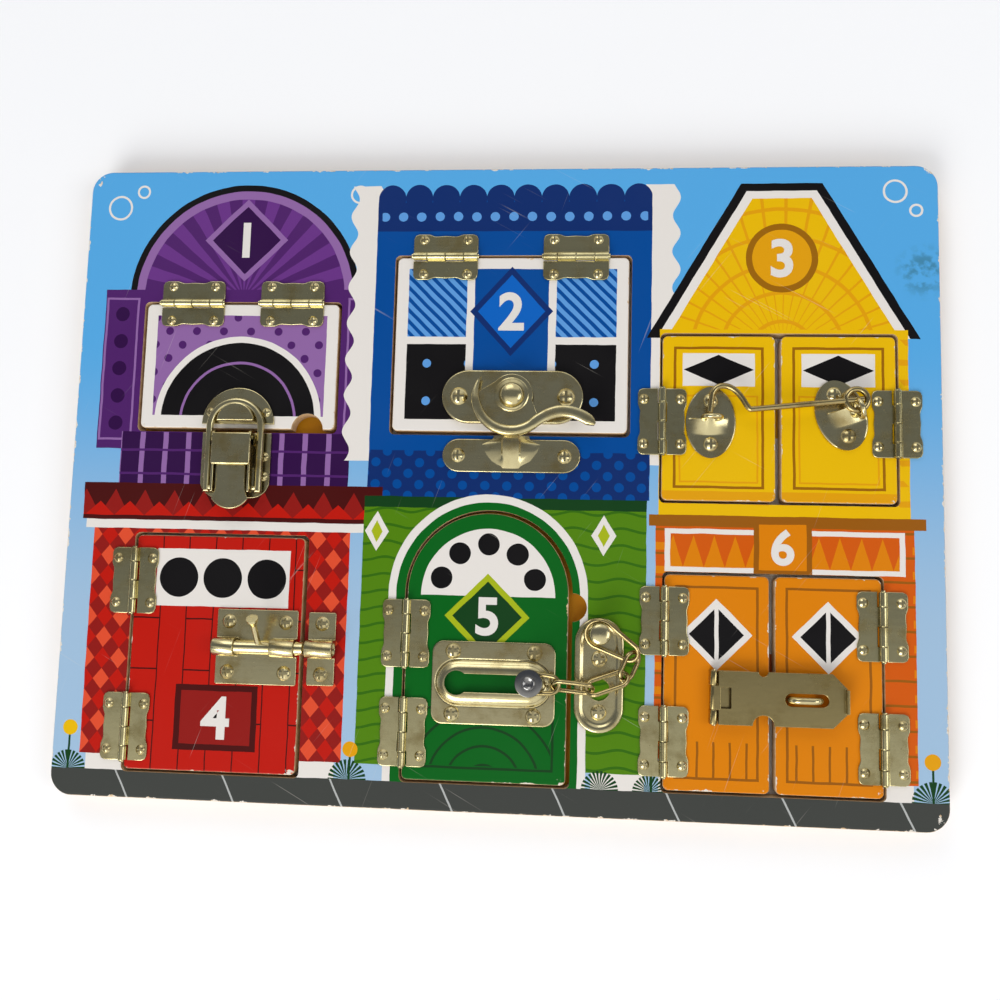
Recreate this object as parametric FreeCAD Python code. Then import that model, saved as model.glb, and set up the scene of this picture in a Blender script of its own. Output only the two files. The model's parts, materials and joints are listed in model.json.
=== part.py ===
import FreeCAD, Part
import math
import os
from FreeCAD import Placement, Rotation, Vector

# Wooden busy board: a flat board with six little numbered doors, each held shut by its own latch.
# Millimetres. The board lies on its back, face up: X runs along it, Y towards its top edge, Z out of it.
# The origin is the middle of the back face. Heights of the fittings are given above the board's face.

# Board
board_length = 393.7
board_width = 292.1
board_corner = 10.0
back_thickness = 4.0
front_thickness = 9.0
door_thickness = 7.5
edge_round = 0.8
door_corner = 2.5
side_gap = 1.2
hinge_gap = 1.0
free_gap = 1.8

# Doors: the line of the hinge, the free edge and the two sides
door_1_left = -165.5
door_1_width = 92.0
door_1_hinge_line = 81.0
door_1_height = 59.0
door_2_left = -46.8
door_2_width = 106.7
door_2_hinge_line = 103.4
door_2_height = 81.4
door_3_hinge_line = 75.2
door_3_leaf_width = 49.8
door_3_bottom = -7.6
door_3_height = 74.6
door_4_hinge_line = -163.2
door_4_width = 78.7
door_4_bottom = -133.3
door_4_height = 105.3
door_5_hinge_line = -36.8
door_5_width = 72.0
door_5_bottom = -133.0
door_5_spring = 82.0
door_6_hinge_line = 77.0
door_6_leaf_width = 45.2
door_6_bottom = -133.0
door_6_height = 92.7
leaf_gap = 2.4

# Finger notches, one in the edge of a door and one in the board beside a door
notch_1_radius = 7.2
notch_1_from_right = 12.8
notch_5_radius = 6.3
notch_5_above_bottom = 77.0

# Butt hinges, all alike: two leaves rolled round a pin
hinge_length = 30.0
hinge_reach = 10.8
hinge_leaf = 0.9
knuckle_radius = 1.75
knuckle_end = 6.5
knuckle_gap = 0.15
pin_radius = 0.8
pin_fit = 0.05
pin_head_radius = 1.2
pin_head_height = 0.5
hinge_corner = 2.2
scallop_width = 13.0
scallop_depth = 1.8
hinge_screw_spacing = 20.2
hinge_screw_reach = 8.1
hinge_1_from_left = 22.4
hinge_1_spacing = 47.3
hinge_2_from_left = 22.3
hinge_2_spacing = 60.1
hinge_3_above_bottom = 35.2
hinge_4_above_bottom = 18.8
hinge_4_spacing = 65.6
hinge_5_above_bottom = 20.6
hinge_5_spacing = 43.1
hinge_6_above_bottom = 20.7
hinge_6_spacing = 51.6

# Screws with domed heads and a cross slot
hinge_head = 4.5
small_head = 4.2
latch_head = 6.5
plate_head = 7.0
sash_head = 8.0
shank_share = 0.5
shank_share_large = 0.42
dome_share = 0.26
slot_width_share = 0.16
slot_length_share = 0.68
slot_depth_share = 0.45
wood_grip = 5.5

# Sheet that the latch plates are pressed from
sheet = 1.2
thin_sheet = 1.0

# Toggle latch on door 1: catch on the door, lever and base on the board, bail loop between them
toggle_from_middle = 0.9
catch_radius = 17.0
catch_above_edge = 2.0
catch_screw_side = 13.2
catch_screw_up = 5.4
tab_radius = 7.2
tab_height = 5.4
tab_up = 0.8
base_half_width = 16.2
base_below_edge = 2.2
base_height = 30.0
base_corner = 8.0
base_screw_side = 13.4
base_screw_top = 11.0
base_screw_spacing = 9.0
ear_inner = 6.4
ear_outer = 7.6
lever_pivot_down = 3.0
lever_pivot_height = 5.6
lever_pin_radius = 1.1
lever_half_width = 9.0
lever_wall = 1.1
lever_nose = 3.4
ear_gap = 0.2
lever_top_length = 15.8
lever_roof_end = 2.0
lever_skirt_length = 28.3
lever_skirt_drop = 3.6
handle_half_width = 6.5
handle_flare = 8.5
handle_end = 36.0
handle_flare_start = 28.0
handle_drop = 2.0
handle_lip = 2.2
lip_inset = 0.55
loop_half_width = 13.5
loop_band = 3.0
loop_depth = 2.2
loop_height = 3.0
loop_tail = 30.0
loop_pin_up = 2.0
loop_pin_radius = 1.0
loop_pin_fit = 0.2
loop_side_clearance = 0.3

# Sash lock on door 2: base and turning cam on the door, keeper on the board
sash_from_middle = 1.5
sash_above_edge = 15.8
sash_length = 64.0
sash_width = 24.4
sash_height = 2.5
sash_screw_spacing = 48.5
hub_radius = 8.3
hub_height = 2.5
cam_gap = 0.2
cam_plate = 1.8
cam_radius = 18.5
cam_rim = 4.5
cam_rim_up = 1.6
cam_rim_down = 1.2
cam_start = 178.0
cam_end = 352.0
handle_reach = 40.0
handle_drop_angle = 17.0
cam_handle_width = 4.6
sash_rivet_radius = 5.3
sash_rivet_shank = 3.0
sash_rivet_dome = 2.8
sash_rivet_clear = 0.1
keeper_length = 62.2
keeper_width = 15.0
keeper_below_edge = 3.5
keeper_screw_spacing = 48.1
saddle_height = 3.2
saddle_foot = 8.6
saddle_wide = 15.5
saddle_neck = 8.0
saddle_shoulder = 1.2

# Hook and eye on door 3
plate_half_width = 11.0
plate_half_height = 16.0
eye_plate_from_gap = 28.4
eye_plate_up = 35.0
hook_plate_from_gap = 25.8
hook_plate_up = 38.9
hook_plate_tilt = 18.0
eye_screw_spacing = 19.5
eye_up = 1.3
eye_radius = 4.0
eye_wire = 1.1
eye_height = 6.0
ridge_width = 3.0
ridge_length = 9.0
ridge_height = 0.5
hook_pivot_side = 7.0
hook_pivot_up = 4.0
hook_wire = 1.3
hook_ring = 4.7
hook_bend_side = 16.7
hook_bend_drop = 1.4
hook_crook_side = 9.7
hook_crook_rise = 7.2
hook_top_rise = 6.7
hook_tip_drop = 4.2
hook_bend_radius = 3.0
hook_rest_angle = 6.4

# Barrel bolt on door 4
bolt_above_bottom = 55.8
bolt_radius = 3.0
bolt_fit = 0.08
bolt_floor_gap = 0.16
tube_radius = 4.1
guide_from_edge = 1.3
guide_length = 37.1
guide_half_height = 16.7
loop_length_left = 9.8
loop_length_right = 11.0
guide_screw_side = 5.5
guide_screw_up = 11.2
bolt_keeper_gap = 1.8
bolt_keeper_length = 12.4
bolt_keeper_half_height = 16.2
bolt_tip_gap = 0.4
bolt_length = 41.0
bolt_throw = 4.0
knob_stem_radius = 1.35
knob_stem_length = 13.5
knob_head_radius = 2.6
knob_head_length = 3.0
knob_crown = 1.0
knob_lean = 48.0

# Chain guard on door 5: track and slider on the door, chain, anchor plate on the board
track_from_edge = 5.2
track_length = 54.5
track_width = 36.2
track_above_bottom = 24.8
track_corner = 5.0
track_screw_side = 18.0
track_screw_up = 13.7
channel_length = 51.0
channel_width = 20.0
channel_height = 3.2
channel_wall = 0.8
slot_width = 8.0
slot_travel = 32.0
keyhole_radius = 5.25
slider_up = 1.2
slider_foot_radius = 4.9
slider_foot = 1.0
slider_foot_up = 0.6
slider_stem_radius = 2.5
slider_disc_radius = 6.0
slider_disc = 1.5
chain_above_channel = 4.3
chain_clear = 0.3
link_wire = 1.0
link_play = 0.3
link_width = 7.6
chain_headings = (-2.7, -4.8, 20.9, 67.0)
chain_pitches = (11.7, 14.7, 15.8, 10.2)
chain_rolls = (6.0, 57.1, -39.6, 42.9)
chain_rises = (0.0, 0.0, 0.0, -0.55)
slider_loop = 4.6
post_loop = 6.2
post_roll = -19.8
post_rise = 0.9
anchor_gap = 1.3
anchor_width = 21.5
anchor_length = 50.0
anchor_above_bottom = 23.0
anchor_rim = 2.4
anchor_rim_up = 0.8
anchor_hole_radius = 4.75
anchor_hole_up = 18.7
anchor_screw_low = 9.0
anchor_screw_high = 32.0
post_up = 43.0
post_radius = 2.0
post_head_radius = 4.6
post_head_height = 2.0

# Hasp and staple on door 6
hasp_pivot_from_line = 21.1
hasp_pivot_height = 3.0
hasp_barrel_radius = 1.8
hasp_pin_radius = 0.9
hasp_above_bottom = 40.4
hasp_width = 22.8
hasp_length = 56.1
hasp_barrel_end = 6.2
hasp_foot = 1.0
hasp_chamfer = 6.3
hasp_lip = 2.8
hasp_slot_length = 18.2
hasp_slot_width = 5.4
hasp_slot_from_pivot = 39.0
hasp_notch_from_pivot = 20.8
hasp_notch_top = 2.0
hasp_notch_bottom = 4.5
hasp_window_from_pivot = 2.9
hasp_window_length = 4.3
hasp_window_width = 9.0
hasp_base_length = 16.0
hasp_screw_from_pivot = 12.0
hasp_screw_spacing = 9.0
staple_wire = 1.5
staple_height = 9.0
staple_corner = 4.0
staple_end_play = 0.7
staple_free_play = 1.9
staple_depth = 5.0

# Levels and lines that follow from the sizes above
face = back_thickness + front_thickness
half_length = board_length / 2
half_width = board_width / 2
hinge_height = face + knuckle_radius
chain_height = channel_height + chain_above_channel
slider_disc_up = (chain_height + chain_rises[0] + slider_loop * math.sin(math.radians(abs(chain_rolls[0])))
                  + link_wire + chain_clear)
post_head_up = (chain_height + post_rise + post_loop * math.sin(math.radians(abs(post_roll)))
                + link_wire + chain_clear)

# Cutters stand out past what they cut by this much; points and levels nearer than this are the same
overshoot = 1.0
same_place = 1e-4

nodes = {}
holes = {}
screws = {}


def block(x0, x1, y0, y1, z0, z1):
    return Part.makeBox(x1 - x0, y1 - y0, z1 - z0, Vector(x0, y0, z0))


def disc(x, y, z0, z1, radius):
    return Part.makeCylinder(radius, z1 - z0, Vector(x, y, z0))


def bar(start, end, radius):
    # A round bar from one point to another
    run = Vector(*end) - Vector(*start)
    return Part.makeCylinder(radius, run.Length, Vector(*start), run)


def wire_of(points):
    # A closed outline: a pair of numbers is a corner, four are an arc's middle and its end
    start = Vector(points[0][-2], points[0][-1], 0)
    here = start
    edges = []
    for point in list(points[1:]) + [points[0]]:
        there = Vector(point[-2], point[-1], 0)
        if (there - here).Length > same_place:
            if len(point) == 4:
                edges.append(Part.Arc(here, Vector(point[0], point[1], 0), there).toShape())
            else:
                edges.append(Part.LineSegment(here, there).toShape())
        here = there
    return Part.Wire(edges)


def flat(points, z0, z1):
    # A flat piece cut to an outline
    shape = Part.Face(wire_of(points)).extrude(Vector(0, 0, z1 - z0))
    shape.translate(Vector(0, 0, z0))
    return shape


def rounded(x0, x1, y0, y1, radius):
    # The outline of a rectangle with round corners
    radius = min(radius, (x1 - x0) / 2, (y1 - y0) / 2)
    cut = radius * (1 - math.sqrt(0.5))
    return [
        (x0 + radius, y0),
        (x1 - radius, y0),
        (x1 - cut, y0 + cut, x1, y0 + radius),
        (x1, y1 - radius),
        (x1 - cut, y1 - cut, x1 - radius, y1),
        (x0 + radius, y1),
        (x0 + cut, y1 - cut, x0, y1 - radius),
        (x0, y0 + radius),
        (x0 + cut, y0 + cut, x0 + radius, y0),
    ]


def plate(x0, x1, y0, y1, z0, z1, radius):
    return flat(rounded(x0, x1, y0, y1, radius), z0, z1)


def turned(profile, x, y, z):
    # A round piece turned from half its outline, given as radius and height, about a vertical line
    shape = Part.Face(wire_of(profile)).revolve(Vector(0, 0, 0), Vector(0, 1, 0), 360)
    shape.rotate(Vector(0, 0, 0), Vector(1, 0, 0), 90)
    shape.translate(Vector(x, y, z))
    return shape


def dome(x, y, z, radius, height):
    # A low dome standing on a flat face
    sphere = (radius ** 2 + height ** 2) / (2 * height)
    half = math.asin(radius / sphere) / 2
    middle = (sphere * math.sin(half), height - sphere + sphere * math.cos(half))
    return turned([(0, 0), (radius, 0), (middle[0], middle[1], 0, height)], x, y, z)


def cut(shape, tools):
    return shape.cut(Part.makeCompound(tools)) if tools else shape


def joined(shapes):
    return shapes[0].multiFuse(shapes[1:]).removeSplitter() if len(shapes) > 1 else shapes[0]


def soften(shape, level, radius):
    # Rounds every edge that lies wholly in the level face z = level
    edges = [edge for edge in shape.Edges
             if abs(edge.BoundBox.ZMin - level) < same_place
             and abs(edge.BoundBox.ZMax - level) < same_place]
    return shape.makeFillet(radius, edges)


def put(name, *shapes):
    nodes.setdefault(name, []).extend(shapes)


def screw(owner, x, y, level, head):
    # A cross-slotted screw whose head sits at the given height, with its hole noted for the wood
    share = shank_share if head < latch_head else shank_share_large
    shank = head * share / 2
    height = head * dome_share
    seat = face + level
    depth = level + wood_grip
    sphere = ((head / 2) ** 2 + height ** 2) / (2 * height)
    half = math.asin(head / 2 / sphere) / 2
    profile = [
        (0, -depth),
        (shank, -depth),
        (shank, 0),
        (head / 2, 0),
        (sphere * math.sin(half), height - sphere + sphere * math.cos(half), 0, height),
    ]
    piece = turned(profile, x, y, seat)
    reach = head * slot_length_share / 2
    width = head * slot_width_share / 2
    floor = seat + height * (1 - slot_depth_share)
    top = seat + height + overshoot
    cross = [
        block(x - reach, x + reach, y - width, y + width, floor, top),
        block(x - width, x + width, y - reach, y + reach, floor, top),
    ]
    screws.setdefault(owner, []).append(cut(piece, cross))
    hole = disc(x, y, seat - depth, seat, shank)
    holes.setdefault(owner, []).append(hole)
    return hole


def hinge(board_node, door_node, door, x, y, turn):
    # One butt hinge with its pin along local X and the board on its +Y side, then turned into place
    place = Placement(Vector(x, y, hinge_height), Rotation(Vector(0, 0, 1), turn))
    middle = (hinge_length - 2 * knuckle_end) / 2
    stops = [-hinge_length / 2, -middle, 0, middle, hinge_length / 2]
    bore = bar((-hinge_length, 0, 0), (hinge_length, 0, 0), pin_radius + pin_fit)
    for side, node, owner in ((1, board_node, "board"), (-1, door_node, door)):
        low = -knuckle_radius
        half = hinge_length / 2
        outline = [
            (-half, 0),
            (half, 0),
            (half, side * (hinge_reach - hinge_corner)),
            (half - hinge_corner, side * hinge_reach),
            (scallop_width / 2, side * hinge_reach),
            (0, side * (hinge_reach - scallop_depth), -scallop_width / 2, side * hinge_reach),
            (-half + hinge_corner, side * hinge_reach),
            (-half, side * (hinge_reach - hinge_corner)),
        ]
        leaf = flat(outline, low, low + hinge_leaf)
        own = [0, 2] if side > 0 else [1, 3]
        others = [1, 3] if side > 0 else [0, 2]
        leaf = cut(leaf, [
            bar((stops[i] - knuckle_gap, 0, 0), (stops[i + 1] + knuckle_gap, 0, 0),
                knuckle_radius + knuckle_gap)
            for i in others
        ])
        barrels = [bar((stops[i] + knuckle_gap / 2, 0, 0), (stops[i + 1] - knuckle_gap / 2, 0, 0),
                       knuckle_radius) for i in own]
        leaf = cut(joined([leaf] + barrels), [bore])
        leaf.Placement = place
        for along in (-1, 1):
            spot = place.multVec(Vector(along * hinge_screw_spacing / 2, side * hinge_screw_reach, 0))
            leaf = leaf.cut(screw(owner, spot.x, spot.y, hinge_leaf, hinge_head))
        put(node, leaf)
    pin = bar((-half, 0, 0), (half, 0, 0), pin_radius)
    heads = [bar((side * half, 0, 0), (side * (half + pin_head_height), 0, 0), pin_head_radius)
             for side in (-1, 1)]
    pin = joined([pin] + heads)
    pin.Placement = place
    put("hinge_pins", pin)


# Rectangles of the doors, as left, right, bottom and top
door_1 = (door_1_left, door_1_left + door_1_width, door_1_hinge_line - door_1_height, door_1_hinge_line)
door_2 = (door_2_left, door_2_left + door_2_width, door_2_hinge_line - door_2_height, door_2_hinge_line)
door_3_right_line = door_3_hinge_line + 2 * door_3_leaf_width + leaf_gap
door_3_left = (door_3_hinge_line, door_3_hinge_line + door_3_leaf_width, door_3_bottom,
               door_3_bottom + door_3_height)
door_3_right = (door_3_right_line - door_3_leaf_width, door_3_right_line) + door_3_left[2:]
door_4 = (door_4_hinge_line, door_4_hinge_line + door_4_width, door_4_bottom,
          door_4_bottom + door_4_height)
door_5 = (door_5_hinge_line, door_5_hinge_line + door_5_width, door_5_bottom,
          door_5_bottom + door_5_spring + door_5_width / 2)
door_6_right_line = door_6_hinge_line + 2 * door_6_leaf_width + leaf_gap
door_6_left = (door_6_hinge_line, door_6_hinge_line + door_6_leaf_width, door_6_bottom,
               door_6_bottom + door_6_height)
door_6_right = (door_6_right_line - door_6_leaf_width, door_6_right_line) + door_6_left[2:]


def panel(box):
    return plate(box[0], box[1], box[2], box[3], face - door_thickness, face, door_corner)


def arched(x0, x1, bottom, spring, z0, z1, radius):
    # A door shape with round lower corners and a half-round top
    middle = (x0 + x1) / 2
    cut_in = radius * (1 - math.sqrt(0.5))
    return flat([
        (x0 + radius, bottom),
        (x1 - radius, bottom),
        (x1 - cut_in, bottom + cut_in, x1, bottom + radius),
        (x1, spring),
        (middle, spring + (x1 - x0) / 2, x0, spring),
        (x0, bottom + radius),
        (x0 + cut_in, bottom + cut_in, x0 + radius, bottom),
    ], z0, z1)


def opening(x0, x1, y0, y1):
    return plate(x0, x1, y0, y1, back_thickness - overshoot, face + overshoot, door_corner)


def make_hinges():
    for step in (0, 1):
        hinge("board_hinge_leaves_1", "door_1_hinge_leaves", "door_1",
              door_1[0] + hinge_1_from_left + step * hinge_1_spacing, door_1_hinge_line, 0)
        hinge("board_hinge_leaves_2", "door_2_hinge_leaves", "door_2",
              door_2[0] + hinge_2_from_left + step * hinge_2_spacing, door_2_hinge_line, 0)
        hinge("board_hinge_leaves_4", "door_4_hinge_leaves", "door_4",
              door_4_hinge_line, door_4_bottom + hinge_4_above_bottom + step * hinge_4_spacing, 90)
        hinge("board_hinge_leaves_5", "door_5_hinge_leaves", "door_5",
              door_5_hinge_line, door_5_bottom + hinge_5_above_bottom + step * hinge_5_spacing, 90)
        height = door_6_bottom + hinge_6_above_bottom + step * hinge_6_spacing
        hinge("board_hinge_leaves_6", "door_6_left_hinge_leaves", "door_6_left",
              door_6_hinge_line, height, 90)
        hinge("board_hinge_leaves_6", "door_6_right_hinge_leaves", "door_6_right",
              door_6_right_line, height, -90)
    height = door_3_bottom + hinge_3_above_bottom
    hinge("board_hinge_leaves_3", "door_3_left_hinge_leaf", "door_3_left",
          door_3_hinge_line, height, 90)
    hinge("board_hinge_leaves_3", "door_3_right_hinge_leaf", "door_3_right",
          door_3_right_line, height, -90)


def make_toggle():
    x = (door_1[0] + door_1[1]) / 2 + toggle_from_middle
    edge = door_1[2]
    # Catch: a half-round plate with a half dome that the loop lies round
    low = edge + catch_above_edge
    catch = flat([(x - catch_radius, low), (x + catch_radius, low),
                  (x, low + catch_radius, x - catch_radius, low)], face, face + sheet)
    tab = dome(x, low + tab_up, face + sheet, tab_radius, tab_height)
    tab = tab.cut(block(x - catch_radius, x + catch_radius, low - catch_radius, low + tab_up,
                        face, face + catch_radius))
    catch = joined([catch, tab])
    for side in (-1, 1):
        catch = catch.cut(screw("door_1", x + side * catch_screw_side, low + catch_screw_up, sheet,
                                small_head))
    put("toggle_catch", catch)
    # Base: a plate with two ears that carry the lever's pin
    top = edge - base_below_edge
    cut_in = base_corner * (1 - math.sqrt(0.5))
    left, right, bottom = x - base_half_width, x + base_half_width, top - base_height
    base = flat([
        (left + base_corner, bottom),
        (right - base_corner, bottom),
        (right - cut_in, bottom + cut_in, right, bottom + base_corner),
        (right, top),
        (left, top),
        (left, bottom + base_corner),
        (left + cut_in, bottom + cut_in, left + base_corner, bottom),
    ], face, face + sheet)
    pivot_y = top - lever_pivot_down
    pivot_z = face + lever_pivot_height
    ears = []
    for side in (-1, 1):
        x0, x1 = sorted((x + side * ear_inner, x + side * ear_outer))
        radius = lever_nose - lever_wall - ear_gap
        ears.append(block(x0, x1, pivot_y - radius, pivot_y + radius, face, pivot_z))
        ears.append(bar((x0, pivot_y, pivot_z), (x1, pivot_y, pivot_z), radius))
    base = joined([base] + ears)
    pin_hole = bar((x - base_half_width, pivot_y, pivot_z), (x + base_half_width, pivot_y, pivot_z),
                   lever_pin_radius + pin_fit)
    base = base.cut(pin_hole)
    for side in (-1, 1):
        for step in (0, 1):
            base = base.cut(screw("board", x + side * base_screw_side,
                                  top - base_screw_top - step * base_screw_spacing, sheet, small_head))
    put("toggle_base", base)
    put("hinge_pins", bar((x - lever_half_width - pin_head_height, pivot_y, pivot_z),
                          (x + lever_half_width + pin_head_height, pivot_y, pivot_z),
                          lever_pin_radius))
    # Lever: a bent channel with a narrower handle; it turns on the pin
    roof = pivot_z + lever_nose - lever_wall
    nose = pivot_y + lever_nose
    skirt_end = nose - lever_skirt_length
    skirt_low = pivot_z + lever_nose - lever_wall - lever_skirt_drop
    outer = lever_half_width
    roof_end = pivot_y + lever_roof_end
    shell = [block(x - outer, x + outer, nose - lever_top_length, roof_end, roof, roof + lever_wall)]
    for side in (-1, 1):
        x0, x1 = sorted((x + side * (outer - lever_wall), x + side * outer))
        shell.append(block(x0, x1, skirt_end, nose - lever_nose, skirt_low, roof))
        shell.append(block(x0, x1, nose - lever_top_length, nose - lever_nose, roof - lever_wall, roof))
        shell.append(bar((x0, pivot_y, pivot_z), (x1, pivot_y, pivot_z), lever_nose))
    step_y = nose - lever_top_length
    handle_top = roof + lever_wall - handle_drop
    shell.append(block(x - outer, x + outer, step_y, step_y + lever_wall, handle_top - lever_wall,
                       roof + lever_wall))
    tip = nose - handle_end
    flare = nose - handle_flare_start
    shell.append(flat([
        (x - outer, step_y + lever_wall),
        (x - handle_half_width, flare),
        (x - handle_flare, tip + handle_flare / 2),
        (x, tip, x + handle_flare, tip + handle_flare / 2),
        (x + handle_half_width, flare),
        (x + outer, step_y + lever_wall),
    ], handle_top - lever_wall, handle_top))
    shell.append(block(x - handle_half_width, x + handle_half_width, tip + lip_inset,
                       tip + lip_inset + lever_wall, handle_top - lever_wall, handle_top + handle_lip))
    lever = joined(shell)
    loop_pin_y = edge - loop_tail + loop_pin_up
    loop_pin_z = face + loop_height + loop_depth / 2
    lever = cut(lever, [pin_hole, bar((x - outer, loop_pin_y, loop_pin_z),
                                      (x + outer, loop_pin_y, loop_pin_z),
                                      loop_pin_radius + loop_pin_fit)])
    put("toggle_lever", lever)
    # Loop: a flat band bent into a U, with short pins that meet the lever's sides
    bottom = face + loop_height
    outer = loop_half_width
    inner = outer - loop_band
    tail = edge - loop_tail
    loop = flat([
        (x - outer, tail), (x - inner, tail), (x - inner, edge),
        (x, edge + inner, x + inner, edge), (x + inner, tail), (x + outer, tail),
        (x + outer, edge), (x, edge + outer, x - outer, edge),
    ], bottom, bottom + loop_depth)
    pins = []
    for side in (-1, 1):
        pins.append(bar((x + side * (lever_half_width + loop_side_clearance), loop_pin_y, loop_pin_z),
                        (x + side * (inner + loop_band / 2), loop_pin_y, loop_pin_z),
                        loop_pin_radius))
    put("toggle_loop", joined([loop] + pins))


def make_sash_lock():
    x = (door_2[0] + door_2[1]) / 2 + sash_from_middle
    edge = door_2[2]
    y = edge + sash_above_edge
    # Base with a raised hub
    half = sash_length / 2
    base = plate(x - half, x + half, y - sash_width / 2, y + sash_width / 2, face,
                 face + sash_height, sash_width / 2)
    base = soften(base, face + sash_height, edge_round)
    hub_top = sash_height + hub_height
    base = joined([base, disc(x, y, face, face + hub_top, hub_radius)])
    rivet_hole = disc(x, y, face, face + hub_top, sash_rivet_shank + pin_fit)
    base = base.cut(rivet_hole)
    for side in (-1, 1):
        base = base.cut(screw("door_2", x + side * sash_screw_spacing / 2, y, sash_height, sash_head))
    put("sash_base", base)
    # Cam: a sector with a raised rim and a curved handle, turning on the rivet
    low = face + hub_top + cam_gap
    top = low + cam_plate
    start, end = math.radians(cam_start), math.radians(cam_end)

    def spot(radius, angle):
        return (x + radius * math.cos(angle), y + radius * math.sin(angle))

    middle = (start + end) / 2
    inner = cam_radius - cam_rim
    sector = flat([(x, y), spot(cam_radius, start), spot(cam_radius, middle) + spot(cam_radius, end)],
                  low, top)
    rim = flat([
        spot(inner, start),
        spot(cam_radius, start),
        spot(cam_radius, middle) + spot(cam_radius, end),
        spot(inner, end),
        spot(inner, middle) + spot(inner, start),
    ], low - cam_rim_down, top + cam_rim_up)
    drop = math.radians(-handle_drop_angle)
    tip = spot(handle_reach, drop)
    root = spot(cam_radius - cam_rim / 2, end)
    along = Vector(tip[0] - root[0], tip[1] - root[1], 0).normalize()
    across = Vector(-along.y, along.x, 0) * (cam_handle_width / 2)
    handle = flat([
        (root[0] - across.x, root[1] - across.y),
        (tip[0] - across.x, tip[1] - across.y),
        (tip[0] + along.x * cam_handle_width / 2, tip[1] + along.y * cam_handle_width / 2,
         tip[0] + across.x, tip[1] + across.y),
        (root[0] + across.x, root[1] + across.y),
    ], low, top + cam_rim_up)
    cam = joined([sector, rim, handle, disc(x, y, low, top, hub_radius)])
    cam = cam.cut(disc(x, y, low - overshoot, top + overshoot, sash_rivet_shank + pin_fit))
    put("sash_cam", cam)
    rivet = joined([disc(x, y, face + cam_gap, top, sash_rivet_shank),
                    dome(x, y, top + sash_rivet_clear, sash_rivet_radius, sash_rivet_dome),
                    disc(x, y, top, top + sash_rivet_clear, sash_rivet_shank)])
    put("sash_rivet", rivet)
    # Keeper: a plate on the board with a raised neck that the cam's rim stands over
    keeper_top = edge - keeper_below_edge
    keeper_low = keeper_top - keeper_width
    half = keeper_length / 2
    keeper = plate(x - half, x + half, keeper_low, keeper_top, face, face + sheet, keeper_width / 2)
    reach = edge - free_gap
    saddle = flat([
        (x - saddle_foot, keeper_low),
        (x + saddle_foot, keeper_low),
        (x + saddle_wide, keeper_top - saddle_shoulder),
        (x + saddle_neck, keeper_top + saddle_shoulder / 2),
        (x + saddle_neck, reach),
        (x - saddle_neck, reach),
        (x - saddle_neck, keeper_top + saddle_shoulder / 2),
        (x - saddle_wide, keeper_top - saddle_shoulder),
    ], face, face + saddle_height)
    keeper = joined([keeper, soften(saddle, face + saddle_height, edge_round)])
    for side in (-1, 1):
        keeper = keeper.cut(screw("board", x + side * keeper_screw_spacing / 2,
                                  (keeper_low + keeper_top) / 2, sheet, latch_head))
    put("sash_keeper", keeper)


def ellipse_plate(x, y, tilt, z0, z1):
    curve = Part.Ellipse(Vector(0, plate_half_height, 0), Vector(plate_half_width, 0, 0),
                         Vector(0, 0, 0))
    shape = Part.Face(Part.Wire([curve.toShape()])).extrude(Vector(0, 0, z1 - z0))
    shape = soften(shape, z1 - z0, (z1 - z0) / 2)
    shape.Placement = Placement(Vector(x, y, z0), Rotation(Vector(0, 0, 1), tilt))
    return shape


def bent_wire(points, radius, bend):
    # A round wire along straight runs joined by arcs that touch both
    points = [Vector(*point) for point in points]
    edges = []
    here = points[0]
    for before, corner, after in zip(points, points[1:], points[2:]):
        back = (before - corner).normalize()
        ahead = (after - corner).normalize()
        half = back.getAngle(ahead) / 2
        run = bend / math.tan(half)
        start = corner + back * run
        end = corner + ahead * run
        inward = (back + ahead).normalize()
        middle = corner + inward * (bend / math.sin(half) - bend)
        edges.append(Part.LineSegment(here, start).toShape())
        edges.append(Part.Arc(start, middle, end).toShape())
        here = end
    edges.append(Part.LineSegment(here, points[-1]).toShape())
    path = Part.Wire(edges)
    ring = Part.Wire([Part.Circle(points[0], points[1] - points[0], radius).toShape()])
    return path.makePipeShell([ring], True, False)


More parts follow.
